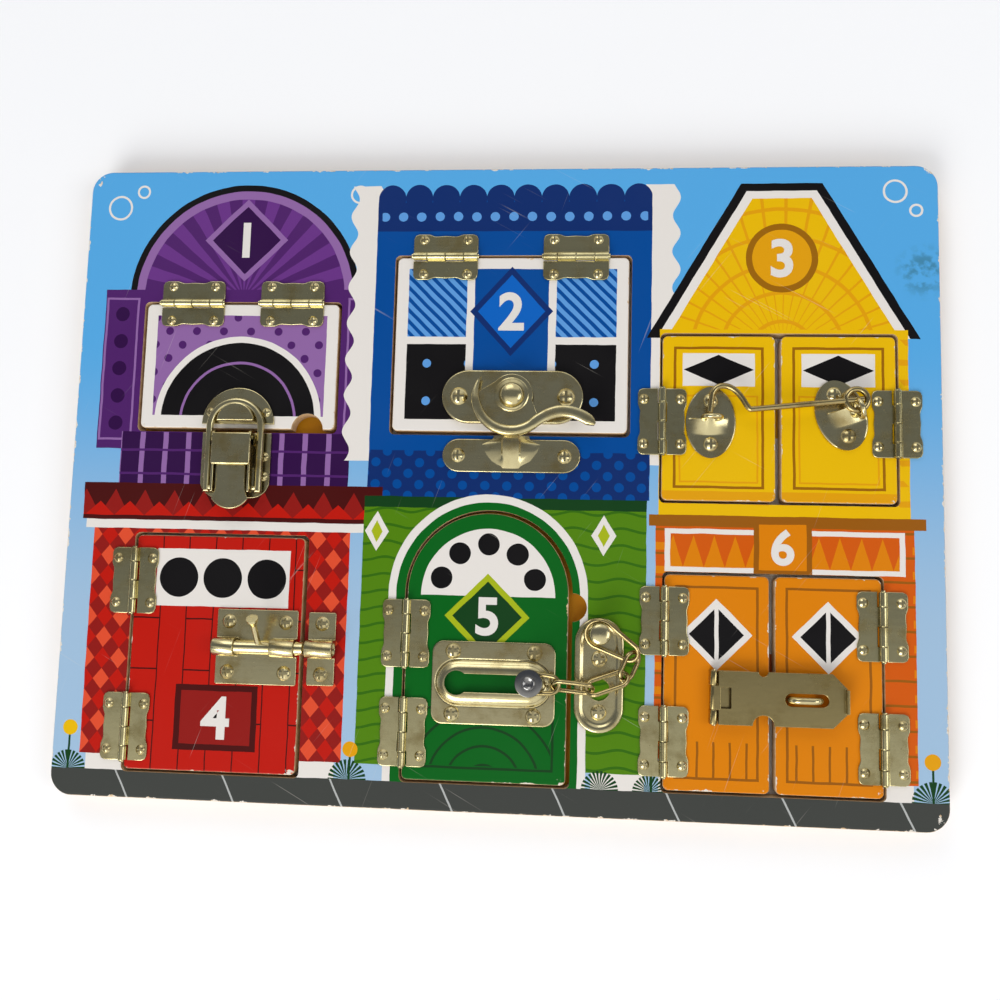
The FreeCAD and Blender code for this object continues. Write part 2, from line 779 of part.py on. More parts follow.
def make_hook():
    gap_left = door_3_left[1]
    gap_right = door_3_right[0]
    # Eye plate on the left leaf; its ring stands across the plate
    eye_x = gap_left - eye_plate_from_gap
    eye_y = door_3_bottom + eye_plate_up
    ring_y = eye_y + eye_up
    level = face + eye_height
    eye = ellipse_plate(eye_x, eye_y, 0, face, face + thin_sheet)
    ridge = plate(eye_x - ridge_width / 2, eye_x + ridge_width / 2, ring_y - ridge_length / 2,
                  ring_y + ridge_length / 2, face, face + thin_sheet + ridge_height, ridge_width / 2)
    ring = Part.makeTorus(eye_radius, eye_wire, Vector(eye_x, ring_y, level), Vector(0, 1, 0))
    eye = joined([eye, ridge, ring])
    for side in (-1, 1):
        eye = eye.cut(screw("door_3_left", eye_x, eye_y + side * eye_screw_spacing / 2, thin_sheet,
                            latch_head))
    put("eye_plate", eye)
    # Hook plate on the right leaf; the hook's ring goes round the outer side of its eye
    base_x = gap_right + hook_plate_from_gap
    base_y = door_3_bottom + hook_plate_up
    tilt = math.radians(hook_plate_tilt)
    down = Vector(math.sin(tilt), -math.cos(tilt), 0)
    side_way = Vector(math.cos(tilt), math.sin(tilt), 0)
    pivot = Vector(base_x, base_y, level) + side_way * hook_pivot_side - down * hook_pivot_up
    centre = pivot + down * eye_radius
    holder = ellipse_plate(base_x, base_y, hook_plate_tilt, face, face + thin_sheet)
    ring = Part.makeTorus(eye_radius, eye_wire, centre, side_way)
    holder = joined([holder, ring])
    for side in (-1, 1):
        spot = Vector(base_x, base_y, 0) + down * (side * eye_screw_spacing / 2)
        holder = holder.cut(screw("door_3_right", spot.x, spot.y, thin_sheet, latch_head))
    put("hook_plate", holder)
    # Hook: drawn in its hooked place, then swung up until its tip is just clear of the eye
    bend = (eye_x + hook_bend_side, ring_y - hook_bend_drop, level)
    points = [
        bend,
        (eye_x + hook_crook_side, ring_y + hook_crook_rise, level),
        (eye_x, ring_y + hook_top_rise, level),
        (eye_x, ring_y - hook_tip_drop, level),
    ]
    away = (Vector(*bend) - pivot).normalize()
    wire = bent_wire([tuple(pivot + away * hook_ring)] + points, hook_wire, hook_bend_radius)
    ring = Part.makeTorus(hook_ring, hook_wire, pivot, Vector(0, 0, 1))
    tip = Part.makeSphere(hook_wire, Vector(*points[-1]))
    hook = joined([ring, wire, tip])
    hook.rotate(pivot, Vector(0, 0, 1), -hook_rest_angle)
    put("hook", hook)


def tube_loop(x0, x1, y, level):
    # A half tube on legs, bored for the bolt
    shape = joined([
        bar((x0, y, level), (x1, y, level), tube_radius),
        block(x0, x1, y - tube_radius, y + tube_radius, face, level),
    ])
    return shape


def make_bolt():
    y = door_4_bottom + bolt_above_bottom
    level = face + thin_sheet + bolt_radius + bolt_floor_gap
    right = door_4[1] - guide_from_edge
    left = right - guide_length
    bore = bar((left - overshoot, y, level), (half_length, y, level), bolt_radius + bolt_fit)
    guide = plate(left, right, y - guide_half_height, y + guide_half_height, face, face + thin_sheet,
                  edge_round)
    guide = joined([guide, tube_loop(left, left + loop_length_left, y, level),
                    tube_loop(right - loop_length_right, right, y, level)])
    guide = guide.cut(bore)
    for side in (-1, 1):
        for end in (left + guide_screw_side, right - guide_screw_side):
            guide = guide.cut(screw("door_4", end, y + side * guide_screw_up, thin_sheet, latch_head))
    put("bolt_guide", guide)
    keeper_left = door_4[1] + free_gap + bolt_keeper_gap
    keeper_right = keeper_left + bolt_keeper_length
    keeper = plate(keeper_left, keeper_right, y - bolt_keeper_half_height, y + bolt_keeper_half_height,
                   face, face + thin_sheet, edge_round)
    keeper = joined([keeper, tube_loop(keeper_left, keeper_right, y, level)])
    keeper = keeper.cut(bore)
    for side in (-1, 1):
        keeper = keeper.cut(screw("board", (keeper_left + keeper_right) / 2, y + side * guide_screw_up,
                                  thin_sheet, latch_head))
    put("bolt_keeper", keeper)
    # Bolt, drawn back just far enough to clear the keeper; its knob stands in the window
    tip = keeper_left - bolt_tip_gap
    rod = bar((tip - bolt_length, y, level), (tip, y, level), bolt_radius)
    nose = [edge for edge in rod.Edges if abs(edge.BoundBox.XMin - tip) < same_place]
    rod = rod.makeChamfer(edge_round, nose)
    knob_x = right - loop_length_right - knob_stem_radius - bolt_throw
    lean = math.radians(knob_lean)
    way = Vector(0, math.sin(lean), math.cos(lean))
    foot = Vector(knob_x, y, level)
    neck = foot + way * knob_stem_length
    stem = Part.makeCylinder(knob_stem_radius, knob_stem_length, foot, way)
    head = Part.makeCone(knob_stem_radius, knob_head_radius, knob_head_length, neck, way)
    crown = Part.makeCylinder(knob_head_radius, knob_crown, neck + way * knob_head_length, way)
    put("bolt_rod", joined([rod, stem, head, crown]))


def chain_link(start, heading, first, last, roll, rise, near, far):
    # One closed link about its long axis: two round ends joined by straight sides
    lean = math.asin((near - far) / (last - first))
    sine, cosine = math.sin(lean), math.cos(lean)
    up_a = Vector(first + near * sine, near * cosine, 0)
    up_b = Vector(last + far * sine, far * cosine, 0)
    down_a = Vector(up_a.x, -up_a.y, 0)
    down_b = Vector(up_b.x, -up_b.y, 0)
    path = Part.Wire([
        Part.LineSegment(up_a, up_b).toShape(),
        Part.Arc(up_b, Vector(last + far, 0, 0), down_b).toShape(),
        Part.LineSegment(down_b, down_a).toShape(),
        Part.Arc(down_a, Vector(first - near, 0, 0), up_a).toShape(),
    ])
    ring = Part.Wire([Part.Circle(up_a, up_b - up_a, link_wire).toShape()])
    link = path.makePipeShell([ring], True, False)
    turn = Rotation(Vector(0, 0, 1), heading).multiply(Rotation(Vector(1, 0, 0), roll))
    link.Placement = Placement(Vector(start[0], start[1], face + chain_height + rise), turn)
    return link


def make_chain_guard():
    # Track plate with a pressed channel, slotted for the slider, wide at one end to let it out
    right = door_5[1] - track_from_edge
    left = right - track_length
    low = door_5_bottom + track_above_bottom
    high = low + track_width
    mid_x = (left + right) / 2
    mid_y = (low + high) / 2
    track = plate(left, right, low, high, face, face + thin_sheet, track_corner)
    half = channel_length / 2
    channel = plate(mid_x - half, mid_x + half, mid_y - channel_width / 2, mid_y + channel_width / 2,
                    face, face + channel_height, channel_width / 2)
    channel = soften(channel, face + channel_height, edge_round)
    inner = half - channel_wall
    hollow = plate(mid_x - inner, mid_x + inner, mid_y - channel_width / 2 + channel_wall,
                   mid_y + channel_width / 2 - channel_wall, face - overshoot,
                   face + channel_height - channel_wall, channel_width / 2 - channel_wall)
    keyhole_x = mid_x - slot_travel / 2
    stop_x = mid_x + slot_travel / 2
    slot = plate(keyhole_x - slot_width / 2, stop_x + slot_width / 2, mid_y - slot_width / 2,
                 mid_y + slot_width / 2, face, face + channel_height + overshoot, slot_width / 2)
    keyhole = disc(keyhole_x, mid_y, face, face + channel_height + overshoot, keyhole_radius)
    track = cut(joined([track, channel]), [hollow, slot, keyhole])
    for side in (-1, 1):
        for end in (-1, 1):
            track = track.cut(screw("door_5", mid_x + end * track_screw_side,
                                    mid_y + side * track_screw_up, thin_sheet, plate_head))
    put("track_plate", track)
    # Slider: a foot under the slot, a stem through it and a disc to push
    start = (stop_x, mid_y + slider_up)
    top = face + slider_disc_up
    foot = face + slider_foot_up
    cap = plate(start[0] - slider_disc_radius, start[0] + slider_disc_radius,
                start[1] - slider_disc_radius, start[1] + slider_disc_radius, top,
                top + slider_disc, slider_disc_radius)
    slider = joined([
        disc(start[0], start[1], foot, foot + slider_foot, slider_foot_radius),
        disc(start[0], start[1], foot, top + slider_disc / 2, slider_stem_radius),
        cap,
        dome(start[0], start[1], top + slider_disc, slider_disc_radius / 2, slider_disc / 2),
    ])
    put("chain_slider", slider)
    # Anchor plate with its post, a storage hole and two screws
    centre_x = door_5[1] + free_gap + anchor_gap + anchor_width / 2
    low = door_5_bottom + anchor_above_bottom
    high = low + anchor_length
    half = anchor_width / 2
    anchor = plate(centre_x - half, centre_x + half, low, high, face, face + thin_sheet + anchor_rim_up,
                   half)
    sunk = half - anchor_rim
    well = plate(centre_x - sunk, centre_x + sunk, low + anchor_rim, high - anchor_rim,
                 face + thin_sheet, face + thin_sheet + 2 * anchor_rim_up, sunk)
    anchor = cut(anchor, [well, disc(centre_x, low + anchor_hole_up, face - overshoot,
                                     face + board_width, anchor_hole_radius)])
    for up in (anchor_screw_low, anchor_screw_high):
        anchor = anchor.cut(screw("board", centre_x, low + up, thin_sheet, plate_head))
    post = (centre_x, low + post_up)
    anchor = joined([
        anchor,
        disc(post[0], post[1], face, face + post_head_up + post_head_height / 2, post_radius),
        dome(post[0], post[1], face + post_head_up, post_head_radius, post_head_height),
    ])
    put("anchor_plate", anchor)
    # Chain: each link hooks through the next, the first round the slider's stem, the last round the post
    over = link_wire + link_play
    half = link_width / 2
    here = Vector(start[0], start[1], 0)
    runs = zip(chain_headings, chain_pitches, chain_rolls, chain_rises)
    for number, (heading, pitch, roll, rise) in enumerate(runs):
        first = 0 if number == 0 else half - over
        near = slider_loop if number == 0 else half
        put("chain_link_%d" % (number + 1),
            chain_link(here, heading, first, pitch + over - half, roll, rise, near, half))
        turn = math.radians(heading)
        here = here + Vector(math.cos(turn), math.sin(turn), 0) * pitch
    reach = Vector(post[0], post[1], 0) - here
    heading = math.degrees(math.atan2(reach.y, reach.x))
    put("chain_link_%d" % (len(chain_pitches) + 1),
        chain_link(here, heading, half - over, reach.Length, post_roll, post_rise, half, post_loop))


def make_hasp():
    pivot_x = door_6_hinge_line + hasp_pivot_from_line
    pivot_z = face + hasp_pivot_height
    y = door_6_bottom + hasp_above_bottom
    low = y - hasp_width / 2
    high = y + hasp_width / 2
    top = pivot_z + hasp_barrel_radius
    pin_hole = bar((pivot_x, low - overshoot, pivot_z), (pivot_x, high + overshoot, pivot_z),
                   hasp_pin_radius + pin_fit)
    # Base on the left door with the two outer barrels
    base = block(pivot_x, pivot_x + hasp_base_length, low, high, face, face + sheet)
    ends = [(low, low + hasp_barrel_end), (high - hasp_barrel_end, high)]
    parts = [base]
    for y0, y1 in ends:
        parts.append(bar((pivot_x, y0, pivot_z), (pivot_x, y1, pivot_z), hasp_barrel_radius))
        parts.append(block(pivot_x - hasp_barrel_radius, pivot_x + hasp_foot, y0, y1, face, pivot_z))
    base = joined(parts).cut(pin_hole)
    for side in (-1, 1):
        base = base.cut(screw("door_6_left", pivot_x + hasp_screw_from_pivot,
                              y + side * hasp_screw_spacing / 2, sheet, small_head))
    put("hasp_base", base)
    put("hasp_pin", bar((pivot_x, low - pin_head_height, pivot_z),
                        (pivot_x, high + pin_head_height, pivot_z), hasp_pin_radius))
    # Leaf with notches, a window by the barrel, a slot for the staple and a lifted lip
    end = pivot_x + hasp_length
    shoulder = end - hasp_chamfer
    notch_x = pivot_x + hasp_notch_from_pivot
    leaf = flat([
        (pivot_x, low),
        (notch_x - hasp_notch_bottom, low),
        (notch_x, low + hasp_notch_bottom, notch_x + hasp_notch_bottom, low),
        (shoulder, low),
        (end, low + hasp_chamfer),
        (end, high - hasp_chamfer),
        (shoulder, high),
        (notch_x + hasp_notch_top, high),
        (notch_x, high - hasp_notch_top, notch_x - hasp_notch_top, high),
        (pivot_x, high),
    ], top - sheet, top)
    roll = bar((pivot_x, low + hasp_barrel_end + knuckle_gap, pivot_z),
               (pivot_x, high - hasp_barrel_end - knuckle_gap, pivot_z), hasp_barrel_radius)
    lip = block(end - sheet, end, low + hasp_chamfer, high - hasp_chamfer, top - sheet, top + hasp_lip)
    slot_x = pivot_x + hasp_slot_from_pivot
    slot = plate(slot_x - hasp_slot_length / 2, slot_x + hasp_slot_length / 2, y - hasp_slot_width / 2,
                 y + hasp_slot_width / 2, face, top + overshoot, hasp_slot_width / 2)
    window_x = pivot_x + hasp_window_from_pivot
    window = block(window_x, window_x + hasp_window_length, y - hasp_window_width / 2,
                   y + hasp_window_width / 2, face, top + overshoot)
    gaps = []
    for y0, y1 in ends:
        gaps.append(block(pivot_x - hasp_barrel_radius - overshoot,
                          pivot_x + hasp_barrel_radius + knuckle_gap, y0 - overshoot if y0 == low else
                          y0 - knuckle_gap, y1 + overshoot if y1 == high else y1 + knuckle_gap,
                          face, top + overshoot))
    leaf = cut(joined([leaf.cut(Part.makeCompound(gaps)), roll, lip]), [slot, window, pin_hole])
    put("hasp_leaf", leaf)
    # Staple on the right door, standing in the slot
    left = slot_x - hasp_slot_length / 2 + staple_end_play + staple_wire
    right = slot_x + hasp_slot_length / 2 - staple_free_play - staple_wire
    crown = face + staple_height - staple_wire
    foot = face - staple_depth
    staple = bent_wire([(left, y, foot), (left, y, crown), (right, y, crown), (right, y, foot)],
                       staple_wire, staple_corner)
    for leg in (left, right):
        holes.setdefault("door_6_right", []).append(disc(leg, y, foot, face, staple_wire))
    put("hasp_staple", staple)


def make_doors():
    # Each door is a plain panel, drilled for its own screws; door 1 has its finger notch
    panels = {
        "door_1": panel(door_1).cut(disc(door_1[1] - notch_1_from_right, door_1[2], 0, board_width,
                                         notch_1_radius)),
        "door_2": panel(door_2),
        "door_3_left": panel(door_3_left),
        "door_3_right": panel(door_3_right),
        "door_4": panel(door_4),
        "door_5": arched(door_5[0], door_5[1], door_5[2], door_5_bottom + door_5_spring,
                         face - door_thickness, face, door_corner),
        "door_6_left": panel(door_6_left),
        "door_6_right": panel(door_6_right),
    }
    for name, shape in panels.items():
        shape = soften(shape, face, edge_round)
        put(name, cut(shape, holes.get(name, [])))


def make_board():
    outer = (-half_length, half_length, -half_width, half_width)
    back = plate(*outer, 0, back_thickness, board_corner)
    put("back_panel", soften(back, 0, edge_round))
    front = plate(*outer, back_thickness, face, board_corner)
    front = soften(front, face, edge_round)
    openings = [
        opening(door_1[0] - side_gap, door_1[1] + side_gap, door_1[2] - free_gap, door_1[3] + hinge_gap),
        opening(door_2[0] - side_gap, door_2[1] + side_gap, door_2[2] - free_gap, door_2[3] + hinge_gap),
        opening(door_3_left[0] - hinge_gap, door_3_right[1] + hinge_gap, door_3_left[2] - side_gap,
                door_3_left[3] + side_gap),
        opening(door_4[0] - hinge_gap, door_4[1] + free_gap, door_4[2] - side_gap, door_4[3] + side_gap),
        arched(door_5[0] - hinge_gap, door_5[1] + free_gap, door_5[2] - side_gap,
               door_5_bottom + door_5_spring, back_thickness - overshoot, face + overshoot, door_corner),
        opening(door_6_left[0] - hinge_gap, door_6_right[1] + hinge_gap, door_6_left[2] - side_gap,
                door_6_left[3] + side_gap),
        disc(door_5[1] + free_gap, door_5_bottom + notch_5_above_bottom, back_thickness - overshoot,
             face + overshoot, notch_5_radius),
    ]
    put("front_board", cut(front, openings + holes["board"]))


make_hinges()
make_toggle()
make_sash_lock()
make_hook()
make_bolt()
make_chain_guard()
make_hasp()
make_doors()
make_board()
for owner, pieces in screws.items():
    put(owner + "_screws", *pieces)

os.makedirs("parts", exist_ok=True)
for name, pieces in nodes.items():
    shape = pieces[0] if len(pieces) == 1 else Part.makeCompound(pieces)
    shape.exportStep("parts/" + name + ".step")
    print(name, len(shape.Solids), shape.isValid(), round(shape.Volume, 1))
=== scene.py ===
import bmesh
import bpy
import json
import math
import numpy as np
from mathutils import Euler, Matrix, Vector


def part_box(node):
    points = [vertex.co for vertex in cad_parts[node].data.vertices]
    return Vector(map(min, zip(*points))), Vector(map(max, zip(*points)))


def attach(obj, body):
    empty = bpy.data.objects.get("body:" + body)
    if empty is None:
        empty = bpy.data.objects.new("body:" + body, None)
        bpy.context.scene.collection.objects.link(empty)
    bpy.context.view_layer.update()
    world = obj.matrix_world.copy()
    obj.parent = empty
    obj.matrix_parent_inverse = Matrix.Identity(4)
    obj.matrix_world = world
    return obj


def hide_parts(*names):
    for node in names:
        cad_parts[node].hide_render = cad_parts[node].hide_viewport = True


# Latch board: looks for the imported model. Metres; the board lies face up, its back on the floor.
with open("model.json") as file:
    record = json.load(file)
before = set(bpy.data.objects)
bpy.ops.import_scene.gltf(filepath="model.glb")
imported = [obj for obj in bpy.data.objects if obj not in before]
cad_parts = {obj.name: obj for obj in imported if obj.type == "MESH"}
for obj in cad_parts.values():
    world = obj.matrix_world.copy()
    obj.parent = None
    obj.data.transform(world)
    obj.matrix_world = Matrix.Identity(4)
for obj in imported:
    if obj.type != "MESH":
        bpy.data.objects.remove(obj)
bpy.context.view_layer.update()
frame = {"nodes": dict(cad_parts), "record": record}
nodes = frame["nodes"]

board = {"length": 393.7, "width": 292.1, "thick": 13.0}  # millimetres
face = board["thick"]  # the level of the painted face

colours = {  # as seen on screen, 0 to 255
    "sky": (84, 166, 222), "haze": (158, 188, 214), "cream": (228, 222, 214), "black": (17, 15, 16),
    "plum": (78, 34, 101), "lilac": (142, 101, 159), "deepPlum": (48, 13, 66),
    "blue": (0, 72, 146), "navy": (14, 44, 104), "paleBlue": (92, 152, 214),
    "yellow": (230, 182, 2), "amber": (222, 156, 8), "umber": (152, 98, 6),
    "red": (186, 24, 10), "brickRed": (142, 25, 20), "coral": (221, 78, 46), "wine": (72, 14, 12),
    "green": (80, 128, 12), "leaf": (4, 95, 24), "pine": (18, 62, 24), "lime": (164, 178, 26),
    "orange": (206, 88, 8), "tangerine": (217, 126, 2), "rust": (150, 88, 12),
    "slate": (64, 66, 62), "chalk": (176, 178, 174), "primer": (224, 217, 205),
}


def tone(name):
    # Screen colour to linear light: the usual curve, c / 12.92 when dark, else ((c + 0.055) / 1.055) ^ 2.4
    c = np.array(colours[name] if isinstance(name, str) else name) / 255
    linear = np.where(c <= 0.04045, c / 12.92, ((c + 0.055) / 1.055) ** 2.4)
    return (*linear.tolist(), 1.0)


# Node helpers

def add(tree, kind, inputs=None, **settings):
    # One node with its settings; inputs may be numbers, colours or sockets
    node = tree.nodes.new(kind)
    for key, value in settings.items():
        setattr(node, key, value)
    for key, value in (inputs or {}).items():
        if isinstance(value, bpy.types.NodeSocket):
            tree.links.new(value, node.inputs[key])
        else:
            node.inputs[key].default_value = value
    return node


def calc(tree, operation, *values):
    return add(tree, "ShaderNodeMath", dict(enumerate(values)), operation=operation).outputs[0]


def mixColour(tree, mask, below, above):
    return add(tree, "ShaderNodeMix", {0: mask, 6: below, 7: above}, data_type="RGBA").outputs[2]


def ramp(tree, value, low, high):
    # 0 below low, 1 above high, smooth between
    node = add(tree, "ShaderNodeMapRange", {0: value, 1: low, 2: high}, interpolation_type="SMOOTHSTEP")
    return node.outputs[0]


def stretched(tree, vector, scale):
    return add(tree, "ShaderNodeMapping", {"Vector": vector, "Scale": scale}).outputs[0]


def noise(tree, vector, scale, detail=3.0, rough=0.55):
    node = add(tree, "ShaderNodeTexNoise", {"Vector": vector, "Scale": scale, "Detail": detail,
                                            "Roughness": rough})
    return node.outputs["Fac"]


def newGroup(name, inputs, outputs):
    group = bpy.data.node_groups.new(name, "ShaderNodeTree")
    for way, sockets in (("INPUT", inputs), ("OUTPUT", outputs)):
        for label, kind, *value in sockets:
            socket = group.interface.new_socket(name=label, in_out=way, socket_type="NodeSocket" + kind)
            if value:
                socket.default_value = value[0]
    return group, group.nodes.new("NodeGroupInput").outputs, group.nodes.new("NodeGroupOutput").inputs


def useGroup(tree, group, inputs):
    return add(tree, "ShaderNodeGroup", inputs, node_tree=group).outputs


def newMaterial(name, settings):
    material = bpy.data.materials.new(name)
    material.use_nodes = True
    tree = material.node_tree
    shader = tree.nodes["Principled BSDF"]
    for key, value in settings.items():
        shader.inputs[key].default_value = value
    spot = add(tree, "ShaderNodeTexCoord").outputs["Object"]
    return material, tree, shader, spot


# Shared effects

def makePlywood():
    # Grain is noise stretched along X; plies are bands of height, light and dark by turns
    group, given, out = newGroup("plywood", [("Vector", "Vector")],
                                 [("Color", "Color"), ("Height", "Float")])
    spot = given["Vector"]
    grain = noise(group, stretched(group, spot, (18, 260, 260)), 1.0, 6.0, 0.6)
    pores = noise(group, stretched(group, spot, (60, 1900, 1900)), 1.0, 2.0)
    height = add(group, "ShaderNodeSeparateXYZ", {0: spot}).outputs[2]
    ply = calc(group, "FRACT", calc(group, "MULTIPLY", height, 667.0))  # one ply every 1.5 mm
    dark = calc(group, "COMPARE", ply, 0.25, 0.22)
    wood = mixColour(group, ramp(group, grain, 0.35, 0.7), tone((222, 196, 156)), tone((194, 160, 118)))
    wood = mixColour(group, calc(group, "MULTIPLY", dark, 0.3), wood, tone((158, 120, 80)))
    pitted = calc(group, "MULTIPLY", ramp(group, pores, 0.62, 0.75), 0.4)
    wood = mixColour(group, pitted, wood, tone((112, 76, 46)))
    group.links.new(wood, out["Color"])
    group.links.new(calc(group, "ADD", grain, calc(group, "MULTIPLY", pores, 0.5)), out["Height"])
    return group


def makeWear():
    # Chips: coarse noise over a limit that falls near an edge. Scratches: noise stretched a hundredfold
    # along two directions and cut high. Dust: broad soft noise.
    group, given, out = newGroup(
        "paintWear", [("Vector", "Vector"), ("Edge", "Float", 0.0), ("Amount", "Float", 1.0)],
        [("Chip", "Float"), ("Scratch", "Float"), ("Dust", "Float"), ("Height", "Float")])
    spot = given["Vector"]
    coarse = noise(group, spot, 170.0, 5.0, 0.65)
    limit = calc(group, "SUBTRACT", 0.80, calc(group, "MULTIPLY", given["Edge"], 0.24))
    limit = calc(group, "SUBTRACT", limit, calc(group, "MULTIPLY", given["Amount"], 0.02))
    chip = ramp(group, calc(group, "SUBTRACT", coarse, limit), 0.0, 0.012)
    cuts = []
    for angle, cutoff in ((0.5, 0.735), (-0.9, 0.745), (1.9, 0.75)):
        turned = add(group, "ShaderNodeMapping", {"Vector": spot, "Rotation": (0, 0, angle)}).outputs[0]
        streak = noise(group, stretched(group, turned, (14, 1500, 40)), 1.0, 1.0)
        where = noise(group, turned, 22.0, 2.0)
        cuts.append(calc(group, "MULTIPLY", ramp(group, streak, cutoff, cutoff + 0.04),
                         ramp(group, where, 0.52, 0.64)))
    scratch = calc(group, "MAXIMUM", calc(group, "MAXIMUM", cuts[0], cuts[1]), cuts[2])
    dust = ramp(group, noise(group, spot, 16.0, 4.0), 0.35, 0.75)
    peel = noise(group, spot, 900.0, 2.0)
    grain = noise(group, stretched(group, spot, (25, 420, 420)), 1.0, 3.0)
    height = calc(group, "ADD", calc(group, "MULTIPLY", peel, 0.25), calc(group, "MULTIPLY", grain, 0.5))
    height = calc(group, "SUBTRACT", height, calc(group, "MULTIPLY", chip, 3.0))
    height = calc(group, "SUBTRACT", height, calc(group, "MULTIPLY", scratch, 0.8))
    for label, socket in (("Chip", chip), ("Scratch", scratch), ("Dust", dust), ("Height", height)):
        group.links.new(socket, out[label])
    return group


def makeTarnish():
    # Stain: broad noise. Specks: fine noise cut high. Brushing: noise stretched along X.
    group, given, out = newGroup(
        "tarnish", [("Vector", "Vector"), ("Bright", "Color", tone((226, 216, 178))),
                    ("Dull", "Color", tone((176, 158, 112)))],
        [("Color", "Color"), ("Roughness", "Float"), ("Height", "Float")])
    spot = given["Vector"]
    stain = ramp(group, noise(group, spot, 75.0, 5.0, 0.6), 0.42, 0.72)
    specks = ramp(group, noise(group, spot, 620.0, 3.0, 0.7), 0.66, 0.74)
    brushed = noise(group, stretched(group, spot, (70, 900, 900)), 1.0, 3.0)
    metal = mixColour(group, stain, given["Bright"], given["Dull"])
    metal = mixColour(group, calc(group, "MULTIPLY", specks, 0.55), metal, tone((92, 72, 40)))
    rough = calc(group, "ADD", 0.16, calc(group, "MULTIPLY", stain, 0.12))
    rough = calc(group, "ADD", rough, calc(group, "MULTIPLY", brushed, 0.08))
    rough = calc(group, "ADD", rough, calc(group, "MULTIPLY", specks, 0.2))
    height = calc(group, "ADD", calc(group, "MULTIPLY", brushed, 0.4), noise(group, spot, 260.0, 2.0))
    for label, socket in (("Color", metal), ("Roughness", rough), ("Height", height)):
        group.links.new(socket, out[label])
    return group


plywood = makePlywood()
wear = makeWear()
tarnish = makeTarnish()
print("stage: shared effects")


# Painted shapes, all in millimetres on the board's face

